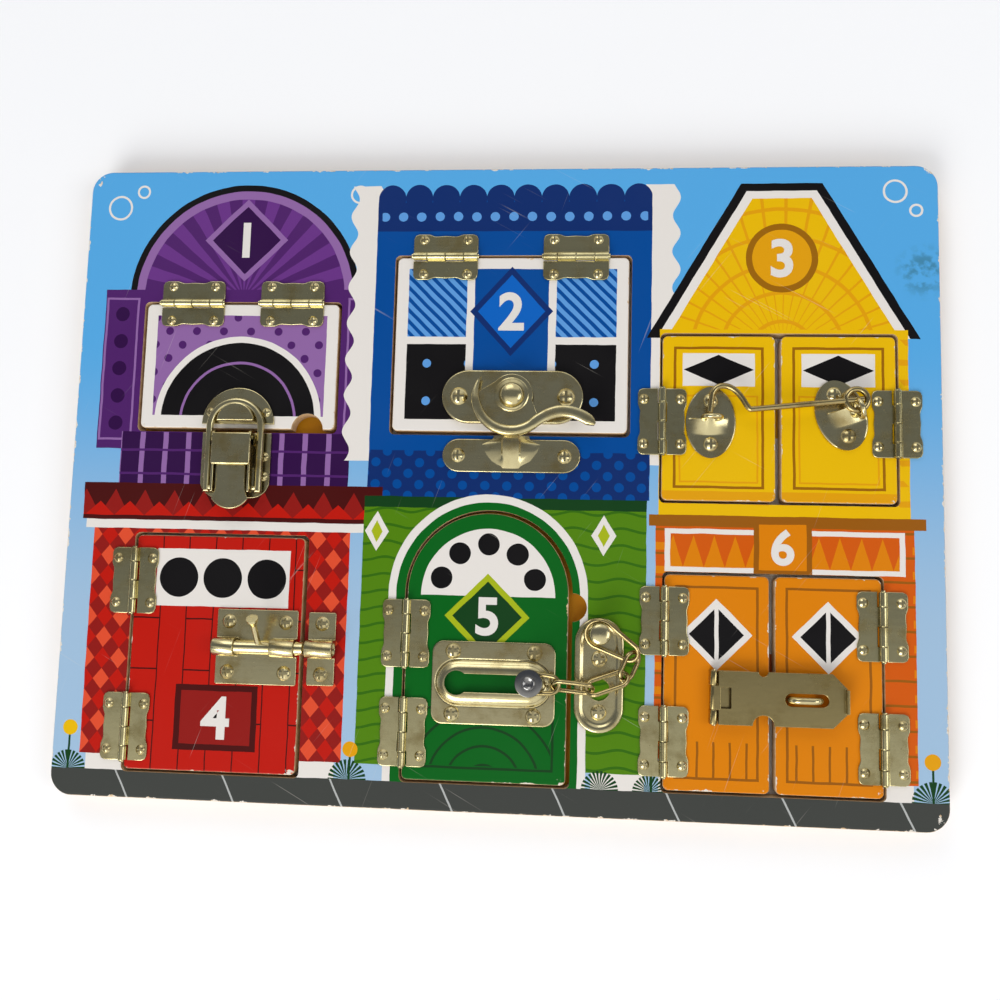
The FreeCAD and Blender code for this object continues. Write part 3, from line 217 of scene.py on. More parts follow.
class Paper:
    # The face as a sheet to paint on: x and y in millimetres, with the small wobble of a printed edge
    def __init__(self, tree, spot):
        self.tree = tree
        wobble = add(tree, "ShaderNodeTexNoise", {"Vector": spot, "Scale": 90.0, "Detail": 2.0})
        wobble = self.shift("SUBTRACT", wobble.outputs["Color"], (0.5, 0.5, 0.5))
        wobble = self.shift("MULTIPLY", wobble, (0.0007, 0.0007, 0.0007))
        moved = self.shift("MULTIPLY", self.shift("ADD", spot, wobble), (1000, 1000, 0))
        split = add(tree, "ShaderNodeSeparateXYZ", {0: moved}).outputs
        self.flat, self.x, self.y = moved, split[0], split[1]
        self.layers = []

    def calc(self, operation, *values):
        return calc(self.tree, operation, *values)

    def shift(self, operation, *vectors):
        node = add(self.tree, "ShaderNodeVectorMath", dict(enumerate(vectors)), operation=operation)
        return node.outputs[0]

    def box(self, left, right, bottom, top):
        # Inside when x and y are both within half a side of the middle
        across = self.calc("COMPARE", self.x, (left + right) / 2, (right - left) / 2)
        up = self.calc("COMPARE", self.y, (bottom + top) / 2, (top - bottom) / 2)
        return self.calc("MULTIPLY", across, up)

    def away(self, x, y):
        gap = add(self.tree, "ShaderNodeVectorMath", {0: self.flat, 1: (x, y, 0)}, operation="DISTANCE")
        return gap.outputs[1]

    def spot(self, x, y, radius):
        return self.calc("LESS_THAN", self.away(x, y), radius)

    def ring(self, x, y, radius, width):
        return self.calc("COMPARE", self.away(x, y), radius, width / 2)

    def above(self, line):
        return self.calc("GREATER_THAN", self.y, line)

    def under(self, x, y, slope):
        # Below the sloping line through a point
        line = self.calc("MULTIPLY_ADD", self.x, slope, y - slope * x)
        return self.calc("LESS_THAN", self.y, line)

    def lozenge(self, x, y, halfWide, halfHigh):
        # The sum of the two distances, each as a share of its half size, is less than one
        across = self.calc("ABSOLUTE", self.calc("MULTIPLY_ADD", self.x, 1 / halfWide, -x / halfWide))
        up = self.calc("ABSOLUTE", self.calc("MULTIPLY_ADD", self.y, 1 / halfHigh, -y / halfHigh))
        return self.calc("LESS_THAN", self.calc("ADD", across, up), 1.0)

    def bars(self, pitch, share, lean=0.0, upright=True, start=0.0, wave=0.0, waveLength=20.0):
        # A line wherever the place along the pitch, cut to its fraction, is within a share of it
        a, b = (self.x, self.y) if upright else (self.y, self.x)
        a = self.calc("MULTIPLY_ADD", b, lean, a) if lean else a
        if wave:
            bend = self.calc("SINE", self.calc("MULTIPLY", b, 2 * math.pi / waveLength))
            a = self.calc("MULTIPLY_ADD", bend, wave, a)
        part = self.calc("FRACT", self.calc("MULTIPLY_ADD", a, 1 / pitch, -start / pitch))
        return self.calc("COMPARE", part, share / 2, share / 2)

    def dots(self, pitchX, pitchY, radius, x=0.0, y=0.0):
        # The nearest point of a grid, by wrapping both places about it, is within the radius
        wrapped = []
        for place, start, pitch in ((self.x, x, pitchX), (self.y, y, pitchY)):
            wrapped.append(self.calc("WRAP", self.calc("SUBTRACT", place, start), pitch / 2, -pitch / 2))
        length = self.calc("SQRT", self.calc("ADD", self.calc("MULTIPLY", wrapped[0], wrapped[0]),
                                            self.calc("MULTIPLY", wrapped[1], wrapped[1])))
        return self.calc("LESS_THAN", length, radius)

    def scatter(self, pitch, radius, x=0.0, y=0.0):
        # Two grids of dots, the second set half a pitch over and up
        return self.either(self.dots(pitch, pitch, radius, x, y),
                           self.dots(pitch, pitch, radius, x + pitch / 2, y + pitch / 2))

    def rays(self, x, y, count, share=0.5):
        # The angle about a point, as a share of one ray's turn
        turn = self.calc("ARCTAN2", self.calc("SUBTRACT", self.y, y), self.calc("SUBTRACT", self.x, x))
        part = self.calc("FRACT", self.calc("MULTIPLY_ADD", turn, count / (2 * math.pi), 0.25))
        return self.calc("LESS_THAN", part, share)

    def rings(self, x, y, pitch, share):
        part = self.calc("FRACT", self.calc("DIVIDE", self.away(x, y), pitch))
        return self.calc("LESS_THAN", part, share)

    def zigzag(self, line, height, pitch, start=0.0):
        # Below a line that rises and falls evenly
        rise = self.calc("PINGPONG", self.calc("SUBTRACT", self.x, start), pitch / 2)
        return self.calc("LESS_THAN", self.y, self.calc("MULTIPLY_ADD", rise, 2 * height / pitch, line))

    def both(self, *masks):
        out = masks[0]
        for mask in masks[1:]:
            out = self.calc("MULTIPLY", out, mask)
        return out

    def either(self, *masks):
        out = masks[0]
        for mask in masks[1:]:
            out = self.calc("MAXIMUM", out, mask)
        return out

    def without(self, mask, hole):
        return self.calc("MULTIPLY", mask, self.calc("SUBTRACT", 1.0, hole))

    def paint(self, mask, colour):
        self.layers.append((mask, colour))

    def frameLine(self, left, right, bottom, top, width, colour):
        self.paint(self.without(self.box(left, right, bottom, top),
                                self.box(left + width, right - width, bottom + width, top - width)), colour)

    def rimCloseness(self, left, right, bottom, top, reach):
        # 1 at the rim of a rectangle, 0 from the given reach inwards
        across = self.calc("ABSOLUTE", self.calc("SUBTRACT", self.x, (left + right) / 2))
        up = self.calc("ABSOLUTE", self.calc("SUBTRACT", self.y, (bottom + top) / 2))
        gap = self.calc("MINIMUM", self.calc("SUBTRACT", (right - left) / 2, across),
                        self.calc("SUBTRACT", (top - bottom) / 2, up))
        return ramp(self.tree, gap, reach, 0.0)


enamel = {
    "gloss": 0.12, "rough": 0.33, "bareRough": 0.35, "dustRough": 0.10, "scratchRough": 0.2,
    "dust": 0.004, "scratch": 0.22,  # how far dust and scratches lighten the paint
    "rim": (0.08, 0.02),  # the paint starts and is full this far below the face, in millimetres
    "lean": (0.55, 0.75),  # and where the surface faces up by this much
}


def paintedMaterial(name, ground, design, rim, wornCorners=()):
    # Enamel on plywood: the design's layers one over the other, chips to primer or wood, bare wood below
    # the rounded edge
    material, tree, shader, spot = newMaterial(name, {"Specular IOR Level": enamel["gloss"]})
    paper = Paper(tree, spot)
    colour = ground(paper) if callable(ground) else tone(ground)
    design(paper)
    for mask, shade in paper.layers:
        colour = mixColour(tree, mask, colour, tone(shade))
    edge = paper.rimCloseness(*rim)
    for x, y, reach in wornCorners:
        edge = paper.calc("MAXIMUM", edge, ramp(tree, paper.away(x, y), reach, reach * 0.3))
    worn = useGroup(tree, wear, {"Vector": spot, "Edge": edge})
    wood = useGroup(tree, plywood, {"Vector": spot})
    dusty = calc(tree, "MULTIPLY", worn["Dust"], enamel["dust"])
    colour = mixColour(tree, dusty, colour, tone("chalk"))
    scratched = calc(tree, "MULTIPLY", worn["Scratch"], enamel["scratch"])
    colour = mixColour(tree, scratched, colour, tone("primer"))
    under = mixColour(tree, ramp(tree, noise(tree, spot, 300.0), 0.52, 0.6), tone("primer"), wood["Color"])
    colour = mixColour(tree, worn["Chip"], colour, under)
    split = add(tree, "ShaderNodeSeparateXYZ", {0: spot}).outputs
    uneven = calc(tree, "MULTIPLY", noise(tree, spot, 420.0), 0.42)
    height = calc(tree, "MULTIPLY_ADD", split[2], 1000.0, uneven)
    painted = ramp(tree, height, *[face - below for below in enamel["rim"]])
    normal = add(tree, "ShaderNodeTexCoord").outputs["Normal"]
    facing = add(tree, "ShaderNodeSeparateXYZ", {0: normal}).outputs[2]
    painted = calc(tree, "MULTIPLY", painted, ramp(tree, facing, *enamel["lean"]))
    colour = mixColour(tree, painted, wood["Color"], colour)
    bare = calc(tree, "MAXIMUM", worn["Chip"], calc(tree, "SUBTRACT", 1.0, painted))
    rough = calc(tree, "MULTIPLY_ADD", worn["Dust"], enamel["dustRough"], enamel["rough"])
    rough = calc(tree, "MULTIPLY_ADD", bare, enamel["bareRough"], rough)
    rough = calc(tree, "MULTIPLY_ADD", worn["Scratch"], enamel["scratchRough"], rough)
    bump = add(tree, "ShaderNodeBump", {"Height": worn["Height"], "Strength": 0.25, "Distance": 0.00012})
    for key, socket in (("Base Color", colour), ("Roughness", rough), ("Normal", bump.outputs[0])):
        tree.links.new(socket, shader.inputs[key])
    return material


def brassMaterial(name, bright, dull, bumpiness=0.2):
    material, tree, shader, spot = newMaterial(name, {"Metallic": 1.0})
    metal = useGroup(tree, tarnish, {"Vector": spot, "Bright": tone(bright), "Dull": tone(dull)})
    bump = add(tree, "ShaderNodeBump", {"Height": metal["Height"], "Strength": bumpiness,
                                        "Distance": 0.00006})
    for key, socket in (("Base Color", metal["Color"]), ("Roughness", metal["Roughness"]),
                        ("Normal", bump.outputs[0])):
        tree.links.new(socket, shader.inputs[key])
    return material


def dress(names, material):
    for name in names:
        piece = nodes[name]
        if not piece.material_slots:
            piece.data.materials.append(material)
        for place in piece.material_slots:
            place.material = material


# Board

def skyGround(paper):
    # Deeper blue at the top, hazy low down
    fade = ramp(paper.tree, paper.y, -70.0, 70.0)
    return mixColour(paper.tree, fade, tone("haze"), tone("sky"))


def boardDesign(p):
    # Purple tile: a half round of rays over a panelled wall
    fan = p.both(p.spot(-119.5, 84, 55), p.above(80))
    p.paint(fan, "black")
    p.paint(p.both(p.spot(-119.5, 84, 52), p.above(80)), "lilac")
    p.paint(p.both(p.spot(-119.5, 84, 48), p.above(80)), "plum")
    p.paint(p.both(p.spot(-119.5, 84, 48), p.above(80), p.rays(-119.5, 84, 24)), (104, 52, 130))
    p.paint(p.box(-186, -54, 12, 88), "plum")
    for middle in (-177.5, -61.5):
        p.frameLine(middle - 8, middle + 8, 16, 84, 1.0, "lilac")
        p.paint(p.both(p.box(middle - 6, middle + 6, 18, 82), p.dots(40, 13, 3.4, middle, 50)), "deepPlum")
    p.paint(p.box(-174, -66, -8, 20), "deepPlum")
    p.paint(p.both(p.box(-174, -66, -8, 20), p.bars(11, 0.22)), "lilac")
    p.paint(p.both(p.box(-174, -66, -8, 20), p.bars(11, 0.10, upright=False)), "plum")
    p.paint(p.lozenge(-119.5, 112, 20, 20), "lilac")
    p.paint(p.lozenge(-119.5, 112, 16.5, 16.5), "deepPlum")
    # Blue tile: scalloped top, spotted band, wavy cream sides
    for side in (-1, 1):
        middle = 6.5 + side * 68
        wavy = p.bars(200, 0.065, start=middle - 6.5, wave=1.8, waveLength=17)
        p.paint(p.both(wavy, p.box(middle - 12, middle + 12, 8, 138)), "cream")
    p.paint(p.box(-57, 70, -8, 132), "blue")
    p.paint(p.both(p.dots(12.7, 400, 6.4, -50.6, 132), p.box(-57, 70, 120, 140)), "navy")
    p.paint(p.box(-57, 70, 116, 130), "navy")
    p.paint(p.both(p.box(-55, 68, 118, 128), p.dots(8.6, 400, 2.2, 6.5, 123)), "paleBlue")
    p.paint(p.box(-57, 70, -8, 13), "navy")
    p.paint(p.both(p.box(-57, 70, -8, 13), p.scatter(10, 2.1, 1.5, 2.5)), "blue")
    # Yellow tile: a flat-topped gable of rays over a wall of dashes
    gable = p.both(p.box(68, 190, 66, 138), p.under(68, 66, 1.72), p.under(188, 66, -1.72))
    p.paint(gable, "black")
    inner = p.both(p.box(74, 184, 66, 134.5), p.under(72.5, 66, 1.72), p.under(183.5, 66, -1.72))
    p.paint(inner, "cream")
    inner = p.both(p.box(76, 182, 70, 131), p.under(77, 66, 1.72), p.under(179, 66, -1.72))
    p.paint(inner, "yellow")
    p.paint(p.both(inner, p.rings(128, 60, 13, 0.13)), "amber")
    p.paint(p.both(inner, p.rays(128, 60, 40, 0.14)), "amber")
    p.paint(p.box(74, 182.5, -14, 70), "yellow")
    dashes = p.both(p.bars(9, 0.30, upright=False), p.bars(17, 0.72, lean=0.9))
    p.paint(p.both(p.box(74, 182.5, -14, 70), dashes), "amber")
    p.paint(p.spot(128, 103, 16), "umber")
    p.paint(p.spot(128, 103, 13.2), "amber")
    # Red tile: saw-tooth band, cream ledge, wall of lozenges
    p.paint(p.box(-190, -50, -21, -4), "wine")
    p.paint(p.both(p.box(-190, -50, -19, -6), p.zigzag(-19, 12, 14)), "brickRed")
    p.paint(p.both(p.box(-190, -50, -19, -6), p.zigzag(-19, 6.5, 14, 7)), "red")
    p.paint(p.box(-188, -52, -25, -21), "cream")
    wall = p.box(-184, -64, -127, -25)
    p.paint(wall, "brickRed")
    p.paint(p.both(wall, p.bars(15, 0.5, lean=0.8), p.bars(15, 0.5, lean=-0.8)), "coral")
    others = p.both(p.bars(15, 0.5, lean=0.8, start=7.5), p.bars(15, 0.5, lean=-0.8, start=7.5))
    p.paint(p.both(wall, others), "red")
    p.paint(p.box(-181, -67, -134, -127), "cream")
    # Green tile: waved stripes round the arched door, cream surround
    lawn = p.box(-58, 69, -127, -8)
    p.paint(lawn, "green")
    p.paint(p.both(lawn, p.bars(7.4, 0.16, upright=False, wave=0.9, waveLength=21)), (52, 104, 12))
    p.paint(p.box(-58, 69, -13, -8), "pine")
    p.paint(p.both(p.spot(-0.8, -51, 44.5), p.above(-51)), "cream")
    p.paint(p.box(-45.3, 43.7, -134, -51), "cream")
    p.paint(p.both(p.spot(-0.8, -51, 41), p.above(-51)), "leaf")
    p.paint(p.box(-41.8, 40.2, -134, -51), "leaf")
    for side in (-1, 1):
        p.paint(p.lozenge(-0.8 + side * 51, -24, 5.5, 9), "cream")
        p.paint(p.lozenge(-0.8 + side * 51, -24, 2.6, 5), "lime")
    p.paint(p.box(46, 69, -134, -127), "cream")
    # Orange tile: striped name band and planked wall
    p.paint(p.box(70, 189, -19, -14), "rust")
    wall = p.box(73, 184, -127, -19)
    p.paint(wall, "orange")
    p.paint(p.both(wall, p.bars(10.5, 0.10, upright=False)), "rust")
    p.paint(p.both(wall, p.bars(10.5, 0.32, upright=False, start=2), p.bars(29, 0.5, start=9)), "tangerine")
    p.paint(p.box(77, 180, -39, -20), "cream")
    p.paint(p.box(79.4, 177.6, -36.8, -22.2), "orange")
    p.paint(p.both(p.box(79.4, 177.6, -36.8, -22.2), p.zigzag(-36.8, 14, 9.0, 4)), "tangerine")
    p.paint(p.box(115.5, 140.5, -39.5, -15.5), "rust")
    p.paint(p.box(117.8, 138.2, -37.5, -17.5), "tangerine")
    p.paint(p.box(75, 182, -134, -127), "cream")
    # Sky marks and flowers
    for x, y, r in ((-182, 128, 5.5), (-171, 136, 2.8), (-66, 134, 4.0), (178, 134, 5.0), (187, 125, 2.6)):
        p.paint(p.ring(x, y, r, 1.0), "cream")
    for x, y, shade in ((-189, -116, "yellow"), (-60, -121, "amber"), (190, -117, "amber"),
                        (72, -121, "cream")):
        p.paint(p.box(x - 0.5, x + 0.5, -134, y), "pine")
        p.paint(p.spot(x, y, 3.4), shade)
    for x, r in ((-189, 8), (-61, 8.5), (50, 8), (71, 7), (190, 9)):
        p.paint(p.both(p.spot(x, -134, r), p.rays(x, -134, 26, 0.62)), "pine")
    # Grey base with chalk ticks
    p.paint(p.under(0, -134, 0), "slate")
    p.paint(p.both(p.under(0, -134, 0), p.bars(49, 0.018, lean=0.5, start=11)), "chalk")
    # A rubbed teal stain near the right edge
    patches = ramp(p.tree, noise(p.tree, p.flat, 0.22, 5.0), 0.42, 0.62)
    stain = p.both(ramp(p.tree, p.away(190, 97), 15.0, 4.0), patches)
    p.paint(p.calc("MULTIPLY", stain, 0.6), (52, 104, 112))


half = {"x": board["length"] / 2, "y": board["width"] / 2}
boardPaint = paintedMaterial(
    "boardPaint", skyGround, boardDesign, (-half["x"], half["x"], -half["y"], half["y"], 2.2),
    [(sx * (half["x"] - 2.5), sy * (half["y"] - 2.5), 9.0) for sx in (-1, 1) for sy in (-1, 1)])
dress(["front_board"], boardPaint)
print("stage: board painted")


# Doors, each with its own design; rectangles are left, right, bottom, top

doorBoxes = {
    "door_1": (-165.5, -73.5, 22.0, 81.0), "door_2": (-46.8, 59.9, 22.0, 103.4),
    "door_3_left": (75.2, 125.0, -7.6, 67.0), "door_3_right": (127.4, 177.2, -7.6, 67.0),
    "door_4": (-163.2, -84.5, -133.3, -28.0), "door_5": (-36.8, 35.2, -133.0, -15.0),
    "door_6_left": (77.0, 122.2, -133.0, -40.3), "door_6_right": (124.6, 169.8, -133.0, -40.3),
}


def designOne(p):
    field = p.box(-160, -79, 28, 75.5)
    p.paint(field, "lilac")
    p.paint(p.both(field, p.scatter(13, 1.9, 2, 3)), "plum")
    p.paint(p.both(field, p.spot(-119.5, 26, 39.5)), "cream")
    p.paint(p.both(field, p.spot(-119.5, 26, 36.5)), "black")
    p.paint(p.both(field, p.ring(-119.5, 26, 27, 1.2)), "lilac")


def designTwo(p):
    p.frameLine(-46.8, 59.9, 22, 103.4, 5.5, "cream")
    upper = p.box(-41.3, 54.4, 66, 98)
    p.paint(upper, "paleBlue")
    p.paint(p.both(upper, p.bars(5.2, 0.45, lean=1.0)), "blue")
    p.paint(p.box(-41.3, 54.4, 62.5, 66), "cream")
    lower = p.box(-41.3, 54.4, 27.5, 62.5)
    p.paint(lower, "black")
    p.paint(p.both(lower, p.dots(19.1, 17.5, 2.0, -31.7, 36.0)), "paleBlue")
    p.paint(p.box(-14, 27, 27.5, 98), "cream")
    p.paint(p.box(-10.5, 23.5, 27.5, 98), "blue")
    p.paint(p.lozenge(6.5, 78, 19, 21), "navy")
    p.paint(p.lozenge(6.5, 78, 15.5, 17.2), (8, 96, 186))


def designThree(left, right):
    def design(p):
        middle = (left + right) / 2
        p.frameLine(left + 5, right - 5, -2, 62, 1.2, "umber")
        p.frameLine(left + 7.5, right - 7.5, 0.5, 40, 0.8, "amber")
        p.paint(p.box(left + 9, right - 9, 44, 59), "cream")
        p.paint(p.lozenge(middle, 51.5, 15.5, 6.8), "black")
        p.paint(p.box(left, right, -7.6, -3.2), "amber")
    return design


def designFour(p):
    p.paint(p.bars(12.4, 0.045, start=-163.2), "wine")
    p.paint(p.both(p.bars(23, 0.03, upright=False, start=3), p.bars(24.8, 0.5, start=-163.2)), "wine")
    p.paint(p.box(-153, -91, -60, -34), "cream")
    for x in (-142.5, -122, -101.5):
        p.paint(p.spot(x, -47, 9.0), "black")
    p.paint(p.box(-141, -103, -124, -95), "wine")
    p.paint(p.box(-138.3, -105.7, -121.3, -97.7), "brickRed")


def designFive(p):
    fan = p.both(p.spot(-0.8, -52, 30), p.above(-52))
    p.paint(fan, "cream")
    for angle in (18, 54, 90, 126, 162):
        turn = math.radians(angle)
        p.paint(p.spot(-0.8 + 22 * math.cos(turn), -51 + 22 * math.sin(turn), 4.9), "black")
    p.paint(p.lozenge(-0.8, -61, 19, 19), "lime")
    p.paint(p.lozenge(-0.8, -61, 15.5, 15.5), "pine")
    p.frameLine(-31.5, 29.8, -127.5, -101, 1.1, "pine")
    p.paint(p.both(p.box(-30, 28.4, -126, -102.5), p.rings(-0.8, -134, 8, 0.14)), "pine")


def designSix(left, right):
    def design(p):
        middle = (left + right) / 2
        p.paint(p.lozenge(middle, -66, 15.5, 15.5), "cream")
        p.paint(p.lozenge(middle, -66, 11.8, 11.8), "black")
        bar = p.box(middle - 0.9, middle + 0.9, -80, -50)
        p.paint(p.both(p.lozenge(middle, -66, 12.2, 12.2), bar), "cream")
        p.frameLine(left + 4.5, right - 4.5, -128, -45, 1.1, "rust")
        p.paint(p.both(p.box(left + 5.6, right - 5.6, -127, -112), p.bars(7, 0.14)), "rust")
    return design


designs = {
    "door_1": ("cream", designOne), "door_2": ("cream", designTwo),
    "door_3_left": ("yellow", designThree(75.2, 125.0)),
    "door_3_right": ("yellow", designThree(127.4, 177.2)),
    "door_4": ("red", designFour), "door_5": ("leaf", designFive),
    "door_6_left": ("tangerine", designSix(77.0, 122.2)),
    "door_6_right": ("tangerine", designSix(124.6, 169.8)),
}
for name, (ground, design) in designs.items():
    left, right, bottom, top = doorBoxes[name]
    corners = [(left, bottom, 5.0), (right, bottom, 7.0), (right, top, 4.0)]
    paint = paintedMaterial(name + "_paint", ground, design, (left, right, bottom, top, 1.6), corners)
    dress([name], paint)
print("stage: doors painted")


# Back panel: bare sheet, with a painted pocket of counting dots behind each door

pockets = {  # middle x, middle y, dot pitch, how many dots, colour
    "one": (-119.5, 52, 12, 1, "plum"), "two": (6.5, 62, 20, 2, "blue"),
    "three": (126, 30, 22, 3, "amber"), "four": (-124, -80, 15, 4, "red"),
    "five": (-0.8, -80, 12, 5, "leaf"), "six": (123, -86, 14, 6, "orange"),
}


backSheet = {"painted": (-190, 190, -142, 142), "amber": ((-170, -69, 12, 86), (-46, 52, -138, -10)),
             "front": 0.0039, "gloss": 0.3}  # boxes in millimetres; the front side lies above 3.9 mm


def backDesign(p):
    p.paint(p.box(*backSheet["painted"]), "cream")
    for pocket in backSheet["amber"]:
        p.paint(p.box(*pocket), "amber")
    for x, y, pitch, count, shade in pockets.values():
        for k in range(count):
            row = (k % 3 - (min(count, 3) - 1) / 2, k // 3 - (0.5 if count > 3 else 0))
            p.paint(p.spot(x + row[0] * pitch, y - row[1] * pitch, pitch * 0.36), shade)


def backMaterial():
    material, tree, shader, spot = newMaterial("backSheet", {"Specular IOR Level": backSheet["gloss"]})
    paper = Paper(tree, spot)
    backDesign(paper)
    wood = useGroup(tree, plywood, {"Vector": spot})
    colour = wood["Color"]
    for mask, shade in paper.layers:
        colour = mixColour(tree, mask, colour, tone(shade))
    height = add(tree, "ShaderNodeSeparateXYZ", {0: spot}).outputs[2]
    front = calc(tree, "GREATER_THAN", height, backSheet["front"])
    colour = mixColour(tree, front, wood["Color"], colour)
    worn = useGroup(tree, wear, {"Vector": spot})
    colour = mixColour(tree, calc(tree, "MULTIPLY", worn["Dust"], 0.15), colour, tone((120, 104, 84)))
    bump = add(tree, "ShaderNodeBump", {"Height": wood["Height"], "Strength": 0.3, "Distance": 0.0002})
    rough = calc(tree, "MULTIPLY_ADD", worn["Dust"], 0.15, 0.55)
    for key, socket in (("Base Color", colour), ("Roughness", rough), ("Normal", bump.outputs[0])):
        tree.links.new(socket, shader.inputs[key])
    return material


dress(["back_panel"], backMaterial())


# Metalwork

plated = brassMaterial("platedSheet", (206, 194, 148), (160, 143, 96))
hingeBrass = brassMaterial("hingeBrass", (196, 186, 140), (150, 136, 92))
screwBrass = brassMaterial("screwBrass", (208, 194, 146), (164, 148, 102), 0.1)
# A darker copy of the brass for the chain and the hook: its darker colour is painted shade, standing for the
# shade on round wire
shadedWireBrass = brassMaterial("shadedWireBrass", (172, 155, 108), (130, 112, 72), 0.1)
haspBrass = brassMaterial("haspBrass", (178, 160, 108), (142, 124, 78))
zincPlated = brassMaterial("zincPlated", (130, 129, 126), (98, 97, 95), 0.15)
finishes = {"hinges": hingeBrass, "latches": plated, "screws": screwBrass, "hinge_pins": hingeBrass,
            "chain": shadedWireBrass}
slotOf = {entry["node"]: entry["material_slot"] for entry in frame["record"]["subparts"]}
bodyOf = {node: body for body, owned in frame["record"]["behaviour"]["bodies"].items() for node in owned}
for name, slotName in slotOf.items():
    if slotName in finishes:
        dress([name], finishes[slotName])

softEdge = {"width": 0.24, "steps": 2, "sharp": 33.0, "flat": 0.4,
            "narrow": 5.0}  # millimetres, count, degrees, degrees, square millimetres


def fromFrame(piece, *replaced):
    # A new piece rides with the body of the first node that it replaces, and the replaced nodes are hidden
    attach(piece, bodyOf[replaced[0]])
    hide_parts(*replaced)
    return piece


def softened(name):
    # The node's triangles merged, level neighbours joined to one face, and sharp edges rounded
    work = bmesh.new()
    work.from_mesh(nodes[name].data)
    bmesh.ops.remove_doubles(work, verts=work.verts, dist=1e-6)
    bmesh.ops.dissolve_limit(work, angle_limit=math.radians(softEdge["flat"]), verts=work.verts,
                             edges=work.edges)
    for face in work.faces:
        # Only the narrow faces of a curve are smooth, so that flats stay flat
        face.smooth = len(face.verts) == 4 and face.calc_area() < softEdge["narrow"] * 1e-6
    mesh = bpy.data.meshes.new(name + "_edged")
    work.to_mesh(mesh)
    work.free()
    mesh.materials.append(nodes[name].material_slots[0].material)
    piece = bpy.data.objects.new(name + "_edged", mesh)
    bpy.context.scene.collection.objects.link(piece)
    bevel = piece.modifiers.new("rounded", "BEVEL")
    bevel.width = softEdge["width"] / 1000
    bevel.segments = softEdge["steps"]
    bevel.limit_method = "ANGLE"
    bevel.angle_limit = math.radians(softEdge["sharp"])
    bevel.use_clamp_overlap = False
    bevel.harden_normals = True
    return fromFrame(piece, name)


dress(["hasp_leaf", "hasp_base"], haspBrass)
for name in ("toggle_base", "sash_base", "bolt_guide", "bolt_keeper", "hasp_base", "hasp_leaf"):
    softened(name)


# Shapes worked out as rings of points, in millimetres

def fromRings(name, ringSets, material, *replaced):
    # Each set is an array of rings by points by 3. Neighbouring rings are joined by quads. One face closes
    # the first ring and one the last, unless the two meet. Sets are separate closed shells in one piece.
    points, faces, start = [], [], 0
    for rings in ringSets:
        rings = np.asarray(rings, float)
        rows, count = rings.shape[:2]
        index = np.arange(rows * count).reshape(rows, count) + start
        ahead = np.roll(index, -1, axis=1)
        quads = np.stack([index[:-1], ahead[:-1], ahead[1:], index[1:]], axis=-1).reshape(-1, 4)
        faces += quads.tolist() + [index[0][::-1].tolist(), index[-1].tolist()]
        points.append(rings.reshape(-1, 3))
        start += rows * count
    mesh = bpy.data.meshes.new(name)
    mesh.from_pydata((np.concatenate(points) / 1000).tolist(), [], faces)
    work = bmesh.new()
    work.from_mesh(mesh)
    bmesh.ops.remove_doubles(work, verts=work.verts, dist=1e-6)
    bmesh.ops.recalc_face_normals(work, faces=work.faces)
    for face in work.faces:
        face.smooth = len(face.verts) < 5
    for edge in work.edges:
        edge.smooth = not edge.is_manifold or edge.calc_face_angle() < math.radians(softEdge["sharp"])
    work.to_mesh(mesh)
    work.free()
    mesh.materials.append(material)
    piece = bpy.data.objects.new(name, mesh)
    bpy.context.scene.collection.objects.link(piece)
    return fromFrame(piece, *replaced) if replaced else piece


def roundedOutline(left, right, bottom, top, radius, steps=9):
    # Four quarter arcs about the corner middles, each from its start angle on
    radius = np.broadcast_to(radius, 4)
    turn = np.linspace(0, math.pi / 2, steps)
    corners = [(right, top, -1, -1), (left, top, 1, -1), (left, bottom, 1, 1), (right, bottom, -1, 1)]
    arcs = []
    for quarter, (x, y, inX, inY) in enumerate(corners):
        angle = turn + quarter * math.pi / 2
        reach = radius[quarter]
        arcs.append(np.stack([x + inX * reach + reach * np.cos(angle),
                              y + inY * reach + reach * np.sin(angle)], -1))
    return np.concatenate(arcs)


def circleOutline(x, y, radius, count=36):
    angle = np.arange(count) * 2 * math.pi / count
    return np.stack([x + radius * np.cos(angle), y + radius * np.sin(angle)], -1)


def inset(outline, distance):
    # Each point moves in along the mean of its two edges' normals, further at a sharp corner
    edge = np.roll(outline, -1, axis=0) - outline
    edge /= np.maximum(np.linalg.norm(edge, axis=1, keepdims=True), 1e-9)
    normal = np.stack([-edge[:, 1], edge[:, 0]], -1)
    mean = normal + np.roll(normal, 1, axis=0)
    mean /= np.maximum(np.linalg.norm(mean, axis=1, keepdims=True), 1e-9)
    lean = np.maximum((mean * normal).sum(1, keepdims=True), 0.5)
    return outline + mean / lean * distance


def level(outline, height):
    return np.column_stack([outline, np.broadcast_to(height, len(outline))])


def slab(outline, low, high, edge=0.3, steps=4):
    # Upright sides, then a quarter round of the given radius to the flat top
    turn = np.linspace(0, math.pi / 2, steps)
    rings = [level(outline, low)]
    rings += [level(inset(outline, edge * (1 - math.cos(a))), high - edge + edge * math.sin(a))
              for a in turn]
    return np.array(rings)


def spun(x, y, profile, count=36):
    # A profile of radius and height turned about an upright line
    return np.array([level(circleOutline(x, y, max(radius, 0.01), count), height)
                     for radius, height in profile])


def alongPath(path, radius, count=12):
    # A ring of the radius across each point of the path; its frame is the tangent, a fixed side and the
    # cross of the two
    path = np.asarray(path, float)
    ahead = np.gradient(path, axis=0)
    ahead /= np.linalg.norm(ahead, axis=1, keepdims=True)
    side = np.cross(ahead, (0.13, 0.07, 1.0))
    side /= np.linalg.norm(side, axis=1, keepdims=True)
    up = np.cross(side, ahead)
    angle = np.arange(count) * 2 * math.pi / count
    radius = np.broadcast_to(radius, len(path))[:, None, None]
    return path[:, None] + radius * (np.cos(angle)[None, :, None] * side[:, None]
                                     + np.sin(angle)[None, :, None] * up[:, None])


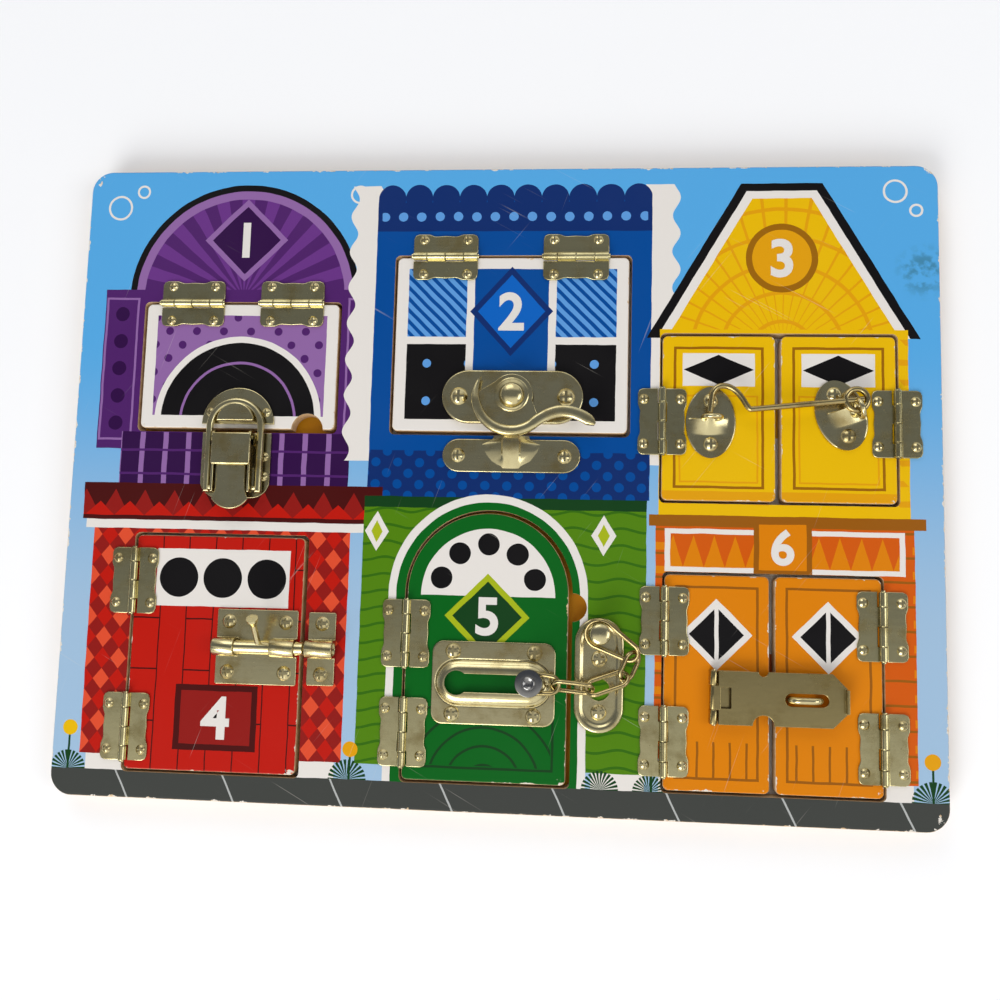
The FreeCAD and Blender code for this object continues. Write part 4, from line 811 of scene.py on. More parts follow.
def smoothPath(points, count=60):
    # Quadratic B-spline through the run middles: each stretch mixes three points by (1-t)^2, 2t(1-t), t^2
    points = np.asarray(points, float)
    points = np.concatenate([2 * points[:1] - points[1:2], points, 2 * points[-1:] - points[-2:-1]])
    place = np.linspace(0, len(points) - 2.0001, count)
    k = place.astype(int)
    t = (place - k)[:, None]
    a, b, c = points[k], points[k + 1], points[np.minimum(k + 2, len(points) - 1)]
    return 0.5 * (1 - t) ** 2 * a + (0.5 + t - t * t) * b + 0.5 * t * t * c


def wireRing(centre, axis, radius, wire, count=40):
    # A circle about the axis with a round section, closed on itself
    axis = np.asarray(axis, float) / np.linalg.norm(axis)
    first = np.cross(axis, (0.31, 0.2, 0.93))
    first /= np.linalg.norm(first)
    second = np.cross(axis, first)
    turn = np.linspace(0, 2 * math.pi, count + 1)[:, None, None]
    angle = np.arange(12)[None, :, None] * math.pi / 6
    out = np.cos(turn) * first + np.sin(turn) * second
    return np.asarray(centre, float) + out * (radius + wire * np.cos(angle)) + axis * wire * np.sin(angle)


def openEnds(piece):
    # A shell that closes on itself needs no end faces: the two faces with most corners go
    work = bmesh.new()
    work.from_mesh(piece.data)
    ends = sorted(work.faces, key=lambda f: len(f.verts))[-2:]
    bmesh.ops.delete(work, geom=ends, context="FACES_ONLY")
    bmesh.ops.recalc_face_normals(work, faces=work.faces)
    work.to_mesh(piece.data)
    work.free()


def arc(x, y, radius, start, end, count=15):
    angle = np.radians(np.linspace(start, end, count))
    return np.stack([x + radius * np.cos(angle), y + radius * np.sin(angle)], -1)


def turned(degrees):
    # The matrix of a turn about Z
    c, s = math.cos(math.radians(degrees)), math.sin(math.radians(degrees))
    return np.array([[c, -s, 0], [s, c, 0], [0, 0, 1]])


# Butt hinges: two scalloped leaves with rounded edges, rolled in turns round the pin

hinge = {"long": 30.0, "reach": 10.8, "leaf": 0.9, "knuckle": 1.75, "end": 6.5, "gap": 0.15, "corner": 2.2,
         "scallop": 17.0, "deep": 1.1, "swell": 0.35, "inner": 0.3, "rounded": 0.28, "sides": 20}
knuckleEnd = [(0.0, 0.86), (0.08, 0.95), (0.25, 1.0), (0.4, 1.0)]  # in from the end, share of the radius
hingePlaces = [("1", "door_1_hinge_leaves", -143.1 + 47.3 * k, 81.0, 0) for k in (0, 1)]
hingePlaces += [("2", "door_2_hinge_leaves", -24.5 + 60.1 * k, 103.4, 0) for k in (0, 1)]
hingePlaces += [("3", "door_3_left_hinge_leaf", 75.2, 27.6, 90),
                ("3", "door_3_right_hinge_leaf", 177.2, 27.6, -90)]
hingePlaces += [("4", "door_4_hinge_leaves", -163.2, -114.5 + 65.6 * k, 90) for k in (0, 1)]
hingePlaces += [("5", "door_5_hinge_leaves", -36.8, -112.4 + 43.1 * k, 90) for k in (0, 1)]
hingePlaces += [("6", "door_6_left_hinge_leaves", 77.0, -112.3 + 51.6 * k, 90) for k in (0, 1)]
hingePlaces += [("6", "door_6_right_hinge_leaves", 169.8, -112.3 + 51.6 * k, -90) for k in (0, 1)]


def leafShells(side):
    # One leaf along X with its screws towards the given side: the plate's outline steps back where the
    # other leaf's knuckles turn. Its far edge is hollowed by a squared sine and swells a little again.
    half, reach, deep = hinge["long"] / 2, hinge["reach"], hinge["deep"]
    middle = half - hinge["end"]
    stops = [-half, -middle, 0.0, middle, half]
    near = []
    for k in range(4):
        depth = hinge["inner"] if (k % 2 == 0) == (side > 0) else hinge["knuckle"] + 2 * hinge["gap"]
        near += [(stops[k], depth), (stops[k + 1], depth)]
    across = np.linspace(hinge["scallop"] / 2, -hinge["scallop"] / 2, 25)
    share = 1 - np.abs(2 * across / hinge["scallop"])
    hollow = np.stack([across, reach - deep * (np.sin(np.pi * np.minimum(share / 0.5, 1) / 2) ** 2
                                               - hinge["swell"] * np.clip((share - 0.3) / 0.7, 0, 1))], -1)
    corner = hinge["corner"]
    far = [(half, reach - corner), (half - corner * 0.3, reach - corner * 0.3), (half - corner, reach)]
    outline = np.concatenate([near, far, hollow, [(-x, y) for x, y in far[::-1]]])
    outline[:, 1] *= side
    outline = outline if side > 0 else outline[::-1]
    shells = [slab(outline, -hinge["knuckle"], -hinge["knuckle"] + hinge["leaf"], hinge["rounded"])]
    for k in range(4):
        if (k % 2 == 0) == (side > 0):
            a, b = stops[k] + hinge["gap"] / 2, stops[k + 1] - hinge["gap"] / 2
            ends = [(a + away, share) for away, share in knuckleEnd]
            ends += [(b - away, share) for away, share in knuckleEnd[::-1]]
            radius = hinge["knuckle"] * np.array([share for _, share in ends])
            shells.append(alongPath([(x, 0, 0) for x, _ in ends], radius, hinge["sides"]))
    return shells


def makeHinges():
    leaves = {}
    for number, doorNode, x, y, degrees in hingePlaces:
        spin = turned(degrees)
        for side, node in ((1, "board_hinge_leaves_" + number), (-1, doorNode)):
            leaves.setdefault(node, [])
            place = (x, y, face + hinge["knuckle"])
            leaves[node] += [shell @ spin.T + place for shell in leafShells(side)]
    for node, shells in leaves.items():
        fromRings(node + "_rolled", shells, finishes["hinges"], node)


makeHinges()


# Chain guard: a plate pressed up round its slot; the crest is rounded and dips to the slot's lip

track = {"corner": 5.0, "sheet": 1.0, "channelLong": 51.0, "channelWide": 20.0, "crest": 3.2, "lip": 2.6,
         "slot": 8.0, "keyhole": 5.25, "travel": 32.0, "wall": 0.8, "climb": 4.4, "shoulder": 3.0}


def makeTrack():
    box = [corner * 1000 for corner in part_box("track_plate")]
    left, right, bottom, top = box[0][0], box[1][0], box[0][1], box[1][1]
    midX, midY = (left + right) / 2, (bottom + top) / 2
    halfX, halfY = track["channelLong"] / 2, track["channelWide"] / 2

    def stadium(cut):
        return roundedOutline(midX - halfX + cut, midX + halfX - cut, midY - halfY + cut, midY + halfY - cut,
                              halfY - cut)

    # The slot's edge: a quarter of its round end, the keyhole's two halves, and the end's other quarter
    slotHalf, keyhole = track["slot"] / 2, track["keyhole"]
    meet = math.degrees(math.asin(slotHalf / keyhole))
    start, stop = midX - track["travel"] / 2, midX + track["travel"] / 2
    slotEdge = np.concatenate([
        arc(stop, midY, slotHalf, 0, 90, 9), arc(start, midY, keyhole, meet, 180, 9),
        arc(start, midY, keyhole, 180, 360 - meet, 9), arc(stop, midY, slotHalf, 270, 360, 9)])
    plateEdge = roundedOutline(left, right, bottom, top, track["corner"])
    sheet, crest, lip, wall = track["sheet"], track["crest"], track["lip"], track["wall"]
    shoulder = track["shoulder"]

    def climbed(cut):
        # The side climbs by the sine of the way in, so it is steep at the foot and level at the crest
        return face + sheet + (crest - sheet) * math.sin(math.pi / 2 * min(cut / track["climb"], 1))

    over = [level(plateEdge, face), level(plateEdge, face + sheet - 0.4)]
    over += [level(inset(plateEdge, cut), face + sheet - drop)
             for cut, drop in ((0.12, 0.12), (0.4, 0.0), (0.7, 0.0))]
    over += [level(stadium(cut), face + sheet + drop)
             for cut, drop in ((-0.8, 0.0), (-0.5, 0.0), (-0.2, -0.18), (0.15, -0.1))]
    over += [level(stadium(cut), climbed(cut)) for cut in (0.5, 1.0, 1.6, 2.3, shoulder)]
    inner = stadium(shoulder)
    over += [level(inner + (slotEdge - inner) * share, climbed(shoulder * (1 + share)))
             for share in (0.25, 0.5, 0.75, 0.9)]
    over += [level(slotEdge, face + crest - 0.25), level(slotEdge, face + lip)]
    under = [level(slotEdge, face + lip - wall), level(inner, face + crest - wall),
             level(stadium(1.8), face + crest - wall), level(stadium(0.9), face + sheet * 0.5),
             level(stadium(0.8), face)]
    rings = np.array(over + under + [over[0]])
    piece = fromRings("track_plate_pressed", [rings], finishes["latches"], "track_plate")
    openEnds(piece)


makeTrack()


# Slider: foot, stem and a thin disc with a hollow rivet on it

slider = {"stem": 2.5, "foot": 4.9, "footUp": 0.6, "footThick": 1.0, "disc": 6.0, "thick": 1.5, "cap": 0.75}


def makeSlider():
    low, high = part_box("chain_slider")
    x, y = (low[0] + high[0]) * 500, (low[1] + high[1]) * 500
    top = high[2] * 1000 - slider["cap"]
    bottom = top - slider["thick"]
    foot = face + slider["footUp"]
    disc, stem = slider["disc"], slider["stem"]
    profile = [(0, foot), (slider["foot"], foot), (slider["foot"], foot + slider["footThick"]),
               (stem, foot + slider["footThick"]), (stem, bottom), (disc - 0.2, bottom),
               (disc, bottom + 0.25), (disc, top - 0.45), (disc - 0.15, top - 0.12), (disc - 0.5, top)]
    # The rivet's rolled rim, then the hollow inside it
    profile += [(radius, top + up) for radius, up in (
        (3.1, 0.0), (3.0, 0.25), (2.7, 0.6), (2.3, 0.75), (1.9, 0.6), (1.6, 0.3), (1.2, 0.2), (0, 0.18))]
    fromRings("chain_slider_disc", [spun(x, y, profile)], zincPlated, "chain_slider")


makeSlider()


# Anchor plate: a long round-ended plate with a rolled rim, a storage hole and the post with its head

anchor = {"rim": 1.8, "sheet": 1.0, "hole": 4.75, "holeUp": 18.7, "holeEdge": 0.25, "postUp": 43.0,
          "post": 2.0, "head": 4.6, "headHigh": 2.0}


def makeAnchor():
    low, high = [corner * 1000 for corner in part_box("anchor_plate")]
    x = (low[0] + high[0]) / 2
    half = (high[0] - low[0]) / 2
    holeY, postY = low[1] + anchor["holeUp"], low[1] + anchor["postUp"]

    def outline(cut):
        return roundedOutline(low[0] + cut, high[0] - cut, low[1] + cut, high[1] - cut, half - cut)

    sheet, rim, edge = face + anchor["sheet"], face + anchor["rim"], anchor["holeEdge"]
    hole = circleOutline(x, holeY, anchor["hole"])
    rings = [level(outline(cut), height) for cut, height in (
        (0, face), (0, rim - 0.9), (0.12, rim - 0.45), (0.45, rim - 0.12), (0.9, rim), (1.9, rim),
        (2.4, rim - 0.1), (2.9, rim - 0.3), (3.4, sheet + 0.15), (4.0, sheet), (4.6, sheet))]
    rings += [level(circleOutline(x, holeY, anchor["hole"] + edge), sheet), level(hole, sheet - edge),
              level(hole, face), rings[0]]
    top = high[2]
    under = top - anchor["headHigh"]
    head = anchor["head"]
    knob = [(anchor["post"], sheet - 0.4), (anchor["post"], under), (head - 0.3, under), (head, under + 0.25),
            (head - 0.08, under + 0.5)]
    knob += [(head * math.cos(a) - 0.1, under + 0.5 + (anchor["headHigh"] - 0.5) * math.sin(a))
             for a in np.linspace(0.25, 1.5, 8)]
    piece = fromRings("anchor_plate_rolled", [np.array(rings)], finishes["latches"])
    openEnds(piece)
    post = fromRings("anchor_post", [spun(x, postY, knob)], finishes["latches"])
    fromFrame(piece, "anchor_plate")
    fromFrame(post, "anchor_plate")


makeAnchor()


# Toggle latch: sheet parts cut from outlines; the loop is a round-edged band

toggle = {"x": -118.6, "edge": 22.0, "half": 9.0}
catch = {"radius": 17.0, "sheet": 1.2, "tab": 8.7, "tabHigh": 5.4, "tabEdge": 0.8}
loop = {"radius": 13.5, "band": 3.0, "tail": 30.0, "low": 3.0, "deep": 2.2, "pinIn": 2.0, "pin": 1.0,
        "pinInner": 0.3, "pinOuter": 3.0}
lever = {"pivotY": 16.8, "pivotZ": 5.6, "nose": 3.4, "wall": 1.1, "roof": 15.8, "skirt": 28.3,
         "skirtDeep": 3.6, "step": 2.0, "length": 36.0, "neck": 6.6, "flare": 8.4, "tipRadius": 10.1,
         "edge": 0.4}


def makeCatch():
    x, low = toggle["x"], toggle["edge"] + 2.0
    plate = arc(x, low, catch["radius"], 0, 180, 25)
    tab = arc(x, low + 0.8, catch["tab"], 0, 180, 21)
    shells = [slab(plate, face, face + catch["sheet"], 0.35),
              slab(tab, face + 0.6, face + catch["tabHigh"], catch["tabEdge"], 6)]
    fromRings("toggle_catch_pressed", shells, finishes["latches"], "toggle_catch")


def makeLoop():
    # The band's outline goes up one side, over the outer arc and back along the inner one
    x, edge, half = toggle["x"], toggle["edge"], toggle["half"]
    outer, inner = loop["radius"], loop["radius"] - loop["band"]
    tail = edge - loop["tail"]
    bottom, top = face + loop["low"], face + loop["low"] + loop["deep"]
    band = np.concatenate([[(x + outer, tail)], arc(x, edge, outer, 0, 180, 25), [(x - outer, tail)],
                           [(x - inner, tail)], arc(x, edge, inner, 180, 0, 25), [(x + inner, tail)]])
    pinY, pinZ = tail + loop["pinIn"], (bottom + top) / 2
    pinInner, pinOuter = half + loop["pinInner"], half + loop["pinOuter"]
    shells = [slab(band, bottom, top, 1.0, 6)]
    for side in (-1, 1):
        ends = [(x + side * reach, pinY, pinZ) for reach in (pinInner, pinOuter - 0.8, pinOuter)]
        shells.append(alongPath(ends, loop["pin"]))
    fromRings("toggle_loop_band", shells, finishes["latches"], "toggle_loop")


def makeLever():
    # The roof, skirts round the pin, a step down, then the handle's blade
    x, half, wall = toggle["x"], toggle["half"], lever["wall"]
    pivotY, pivotZ, nose = lever["pivotY"], face + lever["pivotZ"], lever["nose"]
    end, roofTop = pivotY + nose, pivotZ + nose
    roofLow, step = roofTop - wall, end - lever["roof"]
    roof = roundedOutline(x - half, x + half, step, pivotY + 2.0, 0.6, 3)
    shells = [slab(roof, roofLow, roofTop, 0.55, 5)]
    ring = circleOutline(pivotY, pivotZ, nose, 28)
    for side in (-1, 1):
        a, b = sorted((x + side * (half - wall), x + side * half))
        shells.append(np.array([np.column_stack([np.full(len(ring), at), ring]) for at in (a, b)]))
        skirt = roundedOutline(a, b, end - lever["skirt"], pivotY, 0.3, 3)
        shells.append(slab(skirt, roofLow - lever["skirtDeep"], roofLow, 0.3))
    handleTop = roofTop - lever["step"]
    riser = roundedOutline(x - half + 0.5, x + half - 0.5, step - 0.2, step + 1.3, 0.4, 3)
    shells.append(slab(riser, handleTop - wall, roofTop - 0.1, 0.5, 5))
    # One side of the blade from its tip up: the flare, the curve into the neck, the neck's end
    tip, neck, flare, curve = end - lever["length"], lever["neck"], lever["flare"], lever["tipRadius"]
    rightSide = [(flare, tip + 4.6), (neck + 0.9, tip + 7), (neck + 0.2, tip + 9.5), (neck, tip + 13),
                 (neck, step + 1.0)]
    blade = np.concatenate([[(x - out, up) for out, up in rightSide[::-1]],
                            arc(x, tip + curve, curve, 213, 327, 17),
                            [(x + out, up) for out, up in rightSide]])
    shells.append(slab(blade, handleTop - wall, handleTop, lever["edge"], 5))
    fromRings("toggle_lever_bent", shells, finishes["latches"], "toggle_lever")


makeCatch()
makeLoop()
makeLever()


# Sash lock: the cam's rim is a ridge that swells from a point and runs out into the handle

sash = {"x": 8.05, "y": 37.8, "low": 5.2, "plate": 1.8}
camDisc = {"far": 16.3, "farArc": (178, 320, 30), "near": 9.5, "nearArc": (345, 500, 24), "edge": 0.3}
camRidge = {"sweep": (150, 308, 44), "half": 2.3, "swell": 0.35, "up": 1.6, "down": 1.2, "square": 0.55,
            "sides": 16}
handlePull = {"way": (0.788, 0.616), "first": 9.0, "second": (25.0, -3.6), "tip": (37.3, -13.0)}
hubWasher = {"radius": 7.8, "rivet": 5.3, "shank": 2.9, "domeHigh": 2.3}
keeper = {"low": 3.5, "top": 18.5, "halfLong": 31.1, "corner": 7.5, "sheet": 1.2, "foot": 0.6, "climb": 3.2,
          "creased": 9.5}
saddleShape = {
    "up": (3.55, 6.0, 9.0, 12.5, 16.0, 17.3, 18.8, 20.1),  # along the saddle, towards the cam
    "half": (8.6, 10.1, 12.0, 13.9, 15.5, 12.2, 8.2, 8.0),  # half its width there
    "climb": (0.0, 0.27, 0.58, 0.87, 1.0, 1.0, 1.0, 1.0),  # share of the full climb there
    "over": (-1.0, -0.72, -0.46, -0.38, -0.2, 0.0, 0.2, 0.38, 0.46, 0.72, 1.0),  # across it, 1 at the edge
    "rise": (0.0, 0.36, 0.62, 0.95, 1.0, 1.0, 1.0, 0.95, 0.62, 0.36, 0.0),  # share of the climb across it
}


def makeCam():
    x, y = sash["x"], sash["y"]
    low, top = face + sash["low"], face + sash["low"] + sash["plate"]
    sweep = arc(0, 0, camDisc["far"], *camRidge["sweep"])
    # The handle's middle line is a cubic Bezier curve that leaves the rim along its tangent
    root, tip = sweep[-1], np.array(handlePull["tip"])
    first = root + handlePull["first"] * np.array(handlePull["way"])
    t = np.linspace(0, 1, 26)[1:, None]
    bend = ((1 - t) ** 3 * root + 3 * t * (1 - t) ** 2 * first
            + 3 * t * t * (1 - t) * np.array(handlePull["second"]) + t ** 3 * tip)
    path = np.concatenate([sweep, bend])
    along = np.gradient(path, axis=0)
    along /= np.linalg.norm(along, axis=1, keepdims=True)
    across = np.stack([-along[:, 1], along[:, 0]], -1)
    share = np.linspace(0, 1, len(path))
    # The half width grows from a point by a power, gains a little along the handle and closes roundly
    wide = camRidge["half"] * np.clip(share / 0.2, 0.06, 1) ** 0.6
    wide *= np.where(share > 0.97, np.sqrt(np.clip((1 - share) / 0.03, 0.03, 1)), 1)
    wide = np.where(share > 0.6, wide + camRidge["swell"] * np.clip((share - 0.6) / 0.2, 0, 1), wide)
    angle = np.arange(camRidge["sides"]) * 2 * math.pi / camRidge["sides"]
    # The section is a rounded box: cosine and sine are each drawn out by a power
    flatCos = np.sign(np.cos(angle)) * np.abs(np.cos(angle)) ** camRidge["square"]
    flatSin = np.sign(np.sin(angle)) * np.abs(np.sin(angle)) ** camRidge["square"]
    grown = np.clip(share / 0.15, 0, 1)
    high = top + camRidge["up"] * np.maximum(grown, 0.1)
    deep = low - camRidge["down"] * grown * np.where(share > 0.62, 0.0, 1)
    mid, halfHigh = (high + deep) / 2, (high - deep) / 2
    ridge = np.empty((len(path), camRidge["sides"], 3))
    ridge[:, :, :2] = path[:, None] + (x, y) + across[:, None] * (wide[:, None] * flatCos)[:, :, None]
    ridge[:, :, 2] = mid[:, None] + halfHigh[:, None] * flatSin
    disc = np.concatenate([arc(x, y, camDisc["far"], *camDisc["farArc"]),
                           arc(x, y, camDisc["near"], *camDisc["nearArc"])])
    hub, shank, rim = hubWasher["radius"], hubWasher["shank"], hubWasher["rivet"]
    washer = [(hub - 0.4, top - 0.5), (hub, top - 0.2), (hub - 0.1, top + 0.25), (hub - 0.5, top + 0.45),
              (hub - 1.2, top + 0.35), (5.9, top + 0.08), (shank, top - 0.1)]
    shells = [slab(disc, low, top, camDisc["edge"]), ridge, spun(x, y, washer)]
    fromRings("sash_cam_curved", shells, finishes["latches"], "sash_cam")
    head = [(shank, face + 0.3), (shank, top + 0.05), (rim, top + 0.14), (rim + 0.15, top + 0.4)]
    head += [(rim * math.cos(a), top + 0.6 + hubWasher["domeHigh"] * math.sin(a))
             for a in np.linspace(0.06, 1.52, 11)]
    fromRings("sash_rivet_domed", [spun(x, y, head)], finishes["screws"], "sash_rivet")


def makeKeeper():
    # A plate with a saddle that climbs to the cam, flat along its middle and creased to two wings. Its
    # height is the climb along it times the rise across it.
    x = sash["x"]
    plate = roundedOutline(x - keeper["halfLong"], x + keeper["halfLong"], keeper["low"], keeper["top"],
                           keeper["corner"])
    up, half, climb, over, rise = [np.array(values) for values in saddleShape.values()]
    crease = np.where(np.abs(over) < 0.5, np.minimum(half, keeper["creased"])[:, None], half[:, None])
    saddle = np.empty((len(up), len(over) + 2, 3))
    saddle[:, :, 1] = up[:, None]
    saddle[:, :-2, 0] = x + over * crease
    saddle[:, :-2, 2] = face + keeper["foot"] + (keeper["climb"] * climb)[:, None] * rise
    saddle[:, -2:, 0] = x + half[:, None] * (1, -1)
    saddle[:, -2:, 2] = face
    shells = [slab(plate, face, face + keeper["sheet"], 0.4, 5), saddle]
    fromRings("sash_keeper_pressed", shells, finishes["latches"], "sash_keeper")


makeCam()
makeKeeper()


# Hook and eye: oval plates pressed up under the eyes, wire eyes, and the hook bent in one smooth line

oval = {"wide": 11.0, "high": 16.0, "sheet": 1.0, "rise": 3.1, "brow": 0.6}
eyeRing = {"radius": 4.0, "wire": 1.1, "level": 6.0}
eyeSide = {"x": 96.6, "ringY": 28.7, "plateY": 27.4, "lift": (-1.0, 1.3), "ridge": (9.0, 7.0)}
hookSide = {"x": 153.2, "y": 31.3, "tilt": 18.0, "lift": (3.0, 2.0), "ridge": (9.0, 7.0), "out": 7.0,
            "up": 4.0}
hookWire = {"ring": 4.7, "radius": 1.3, "rest": -6.4, "points": 90, "tip": (0.92, 0.7, 0.2)}


def pressedOval(x, y, tilt, lift, ridge):
    # Rows across an oval, each a closed section: the sheet rises at once under the eye, then falls away
    # evenly to the foot and to both sides
    brow, sheet = oval["brow"], oval["sheet"]
    creases = lift[1] + np.array([-ridge[1], -0.15, 0.0, 0.15, brow, brow + 0.15])
    rows = np.concatenate([oval["high"] * np.sin(np.linspace(-1.55, 1.55, 41)), creases])
    rows = np.sort(rows)[:, None]
    inner = np.linspace(-0.94, 0.94, 33)
    share = np.concatenate([[-1, -1, -0.985], inner, [0.985, 1, 1]])
    edge = np.array([0, sheet - 0.5, sheet - 0.18])
    raised = np.concatenate([edge, np.full(len(inner), sheet), edge[::-1]])
    across = oval["wide"] * np.sqrt(1 - (rows / oval["high"]) ** 2) * share
    fall = np.where(rows < lift[1], 1 + (rows - lift[1]) / ridge[1], 1 - (rows - lift[1]) / brow)
    pressed = np.clip(1 - np.abs(across - lift[0]) / ridge[0], 0, 1) * np.clip(fall, 0, 1)
    height = face + raised + oval["rise"] * pressed * (np.abs(share) < 0.97)
    flat = np.stack([across, np.broadcast_to(rows, across.shape), height], -1)
    return flat @ turned(tilt).T + (x, y, 0)


def makeHook():
    x, ringY, up = eyeSide["x"], eyeSide["ringY"], face + eyeRing["level"]
    eye = [pressedOval(x, eyeSide["plateY"], 0, eyeSide["lift"], eyeSide["ridge"]),
           wireRing((x, ringY, up), (0, 1, 0), eyeRing["radius"], eyeRing["wire"])]
    fromRings("eye_plate_pressed", eye, finishes["latches"], "eye_plate")
    sideWay, upWay, _ = turned(hookSide["tilt"]).T
    pivot = np.array([hookSide["x"], hookSide["y"], up]) + sideWay * hookSide["out"] + upWay * hookSide["up"]
    plate = pressedOval(hookSide["x"], hookSide["y"], hookSide["tilt"], hookSide["lift"], hookSide["ridge"])
    holder = [plate, wireRing(pivot - upWay * eyeRing["radius"], sideWay, eyeRing["radius"], eyeRing["wire"])]
    fromRings("hook_plate_pressed", holder, finishes["latches"], "hook_plate")
    # The rod leaves its ring straight, kinks up, bows over the eye and drops through it
    start = np.array([x + 16.7, ringY - 1.4, up])
    away = (start - pivot) / np.linalg.norm(start - pivot)
    line = [pivot + away * hookWire["ring"], pivot + away * 20, start - away * 6, start - away * 2, start]
    line += [(x + out, ringY + rise, up) for out, rise in (
        (12.6, 4.3), (8.0, 7.7), (3.0, 7.9), (0.2, 5.0), (0.0, 1.0), (0.0, -3.6), (0.0, -4.6))]
    radius = np.full(hookWire["points"], hookWire["radius"])
    radius[-len(hookWire["tip"]):] *= hookWire["tip"]
    shells = [alongPath(smoothPath(line, hookWire["points"]), radius),
              wireRing(pivot, (0, 0, 1), hookWire["ring"], hookWire["radius"])]
    shells = [(shell - pivot) @ turned(hookWire["rest"]).T + pivot for shell in shells]
    # The hook takes the chain's darker brass, whose darker colour is painted shade
    fromRings("hook_bent", shells, finishes["chain"], "hook")


makeHook()
print("stage: metalwork")


# Numerals: raised enamel figures, one on or beside each door

numerals = {  # figure: middle x, middle y, height, body
    "1": (-119.5, 112, 17, "board"), "2": (6.5, 78, 18, "door_2"), "3": (128, 103, 18, "board"),
    "4": (-122, -109.5, 19, "door_4"), "5": (-0.8, -61, 17, "door_5"), "6": (128, -27.5, 16, "board"),
}


def numeralMaterial():
    material, tree, shader, spot = newMaterial("numeralEnamel", {"Specular IOR Level": 0.42})
    worn = useGroup(tree, wear, {"Vector": spot, "Edge": 0.2})
    dusty = calc(tree, "MULTIPLY", worn["Dust"], 0.12)
    colour = mixColour(tree, dusty, tone("cream"), tone("chalk"))
    bump = add(tree, "ShaderNodeBump", {"Height": worn["Height"], "Strength": 0.2, "Distance": 0.0001})
    rough = calc(tree, "MULTIPLY_ADD", worn["Dust"], 0.1, 0.32)
    for key, socket in (("Base Color", colour), ("Roughness", rough), ("Normal", bump.outputs[0])):
        tree.links.new(socket, shader.inputs[key])
    return material


numeralEnamel = numeralMaterial()
numeralFoot, numeralTop = -0.02, 0.08  # below and above the face, in millimetres


def makeNumeral(figure, x, y, height, body):
    # The outline of the figure, thickened; its middle is put at the given place
    curve = bpy.data.curves.new("numeral_" + figure, "FONT")
    curve.body = figure
    curve.size = 1.0
    curve.offset = 0.028
    curve.extrude = 0.5
    curve.resolution_u = 6
    source = bpy.data.objects.new("numeralOutline", curve)
    bpy.context.scene.collection.objects.link(source)
    bpy.context.view_layer.update()
    mesh = bpy.data.meshes.new_from_object(source)
    bpy.data.objects.remove(source)
    points = np.empty(len(mesh.vertices) * 3)
    mesh.vertices.foreach_get("co", points)
    points = points.reshape(-1, 3)
    low, high = points.min(0), points.max(0)
    points -= (low + high) / 2
    points[:, :2] = points[:, :2] * height / (high[1] - low[1]) + (x, y)
    points[:, 2] = face + np.where(points[:, 2] > 0, numeralTop, numeralFoot)
    mesh.vertices.foreach_set("co", (points / 1000).ravel())
    work = bmesh.new()
    work.from_mesh(mesh)
    bmesh.ops.remove_doubles(work, verts=work.verts, dist=1e-7)
    bmesh.ops.recalc_face_normals(work, faces=work.faces)
    work.to_mesh(mesh)
    work.free()
    mesh.materials.clear()
    mesh.materials.append(numeralEnamel)
    piece = bpy.data.objects.new("numeral_" + figure, mesh)
    bpy.context.scene.collection.objects.link(piece)
    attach(piece, body)
    return piece


for figure, (x, y, height, body) in numerals.items():
    makeNumeral(figure, x, y, height, body)
print("stage: numerals")


# Floor, light and camera

floorSheet = {"half": 4.0, "shade": (252, 252, 252), "glow": 0.4, "glowFrom": 0.7, "glowFull": 2.0}


def makeFloor():
    mesh = bpy.data.meshes.new("floor")
    half = floorSheet["half"]
    corners = [(-half, -half, 0), (half, -half, 0), (half, half, 0), (-half, half, 0)]
    mesh.from_pydata(corners, [], [(0, 1, 2, 3)])
    floor = bpy.data.objects.new("floor", mesh)
    bpy.context.scene.collection.objects.link(floor)
    material, tree, shader, spot = newMaterial("paleFloor", {
        "Base Color": tone(floorSheet["shade"]), "Roughness": 0.8, "Specular IOR Level": 0.1,
        "Emission Color": (1, 1, 1, 1)})
    # Far out, where the lamps don't reach, a faint glow keeps the floor as pale as the horizon
    away = add(tree, "ShaderNodeVectorMath", {0: spot}, operation="LENGTH").outputs["Value"]
    far = ramp(tree, away, floorSheet["glowFrom"], floorSheet["glowFull"])
    glow = calc(tree, "MULTIPLY", far, floorSheet["glow"])
    tree.links.new(glow, shader.inputs["Emission Strength"])
    mesh.materials.append(material)


darkBand = {  # each pair is where the band begins and where it is full, along a direction of length 1
    "shade": (0.17, 0.185, 0.225, 1), "side": (0.5, 0.75), "foot": (-0.30, 0.02), "top": (0.60, 0.44),
    "up": (0.10, 0.28), "leftAtTop": 0.3,
}


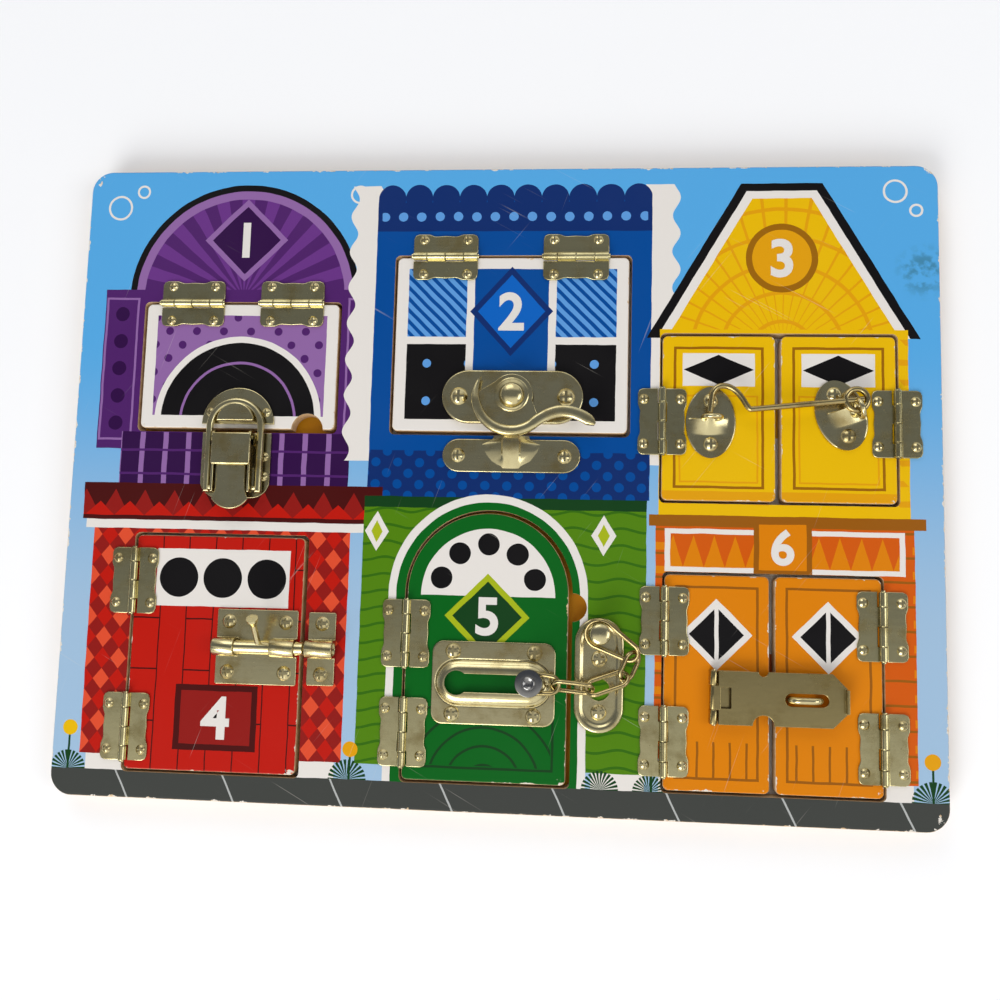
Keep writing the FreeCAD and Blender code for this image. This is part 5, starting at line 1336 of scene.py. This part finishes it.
def makeWorld():
    # White low down all round and towards the foot of the board, paler towards its top; a dark band
    # between them and out to both sides. Flat brass shows the band, and what leans to the foot shows white.
    world = bpy.data.worlds.new("studio")
    bpy.context.scene.world = world
    world.use_nodes = True
    tree = world.node_tree
    back = tree.nodes["Background"]
    way = add(tree, "ShaderNodeTexCoord").outputs["Generated"]
    way = add(tree, "ShaderNodeSeparateXYZ", {0: way}).outputs
    sides = ramp(tree, calc(tree, "ABSOLUTE", way[0]), *darkBand["side"])
    foot = calc(tree, "MAXIMUM", ramp(tree, way[1], *darkBand["foot"]), sides)
    top = calc(tree, "MAXIMUM", ramp(tree, way[1], *darkBand["top"]), sides)
    top = calc(tree, "MULTIPLY_ADD", top, 1 - darkBand["leftAtTop"], darkBand["leftAtTop"])
    fade = calc(tree, "MULTIPLY", ramp(tree, way[2], *darkBand["up"]), calc(tree, "MULTIPLY", foot, top))
    tree.links.new(mixColour(tree, fade, (1, 1, 1, 1), darkBand["shade"]), back.inputs["Color"])
    back.inputs["Strength"].default_value = 1.0


lamps = {  # place, size and power of each soft box, all aimed at the board
    "keyFoot": ((-0.55, -1.35, 1.0), 0.9, 15.5),
    "fillRight": ((1.4, -0.2, 1.2), 0.9, 7.0),
    "fillTop": ((-0.4, 1.5, 1.1), 1.0, 5.0),
}


def makeLamps():
    for name, (place, size, power) in lamps.items():
        light = bpy.data.lights.new(name, "AREA")
        light.shape = "SQUARE"
        light.size = size
        light.energy = power
        lamp = bpy.data.objects.new(name, light)
        bpy.context.scene.collection.objects.link(lamp)
        lamp.location = place
        lamp.rotation_euler = (-Vector(place)).to_track_quat("-Z", "Y").to_euler()


photoView = {"place": (0.039688, -0.055107, 0.454222), "turn": (6.0832, 4.51356, 1.54802), "lens": 35.7023}


def makeCamera():
    view = bpy.data.cameras.new("photoCamera")
    view.lens = photoView["lens"]
    view.sensor_width = 36.0
    view.clip_start = 0.01
    camera = bpy.data.objects.new("photoCamera", view)
    bpy.context.scene.collection.objects.link(camera)
    camera.location = photoView["place"]
    camera.rotation_euler = Euler([math.radians(a) for a in photoView["turn"]], "XYZ")
    bpy.context.scene.camera = camera


makeFloor()
makeWorld()
makeLamps()
makeCamera()
bpy.context.scene.view_settings.view_transform = "Standard"
print("stage: floor, light and camera")
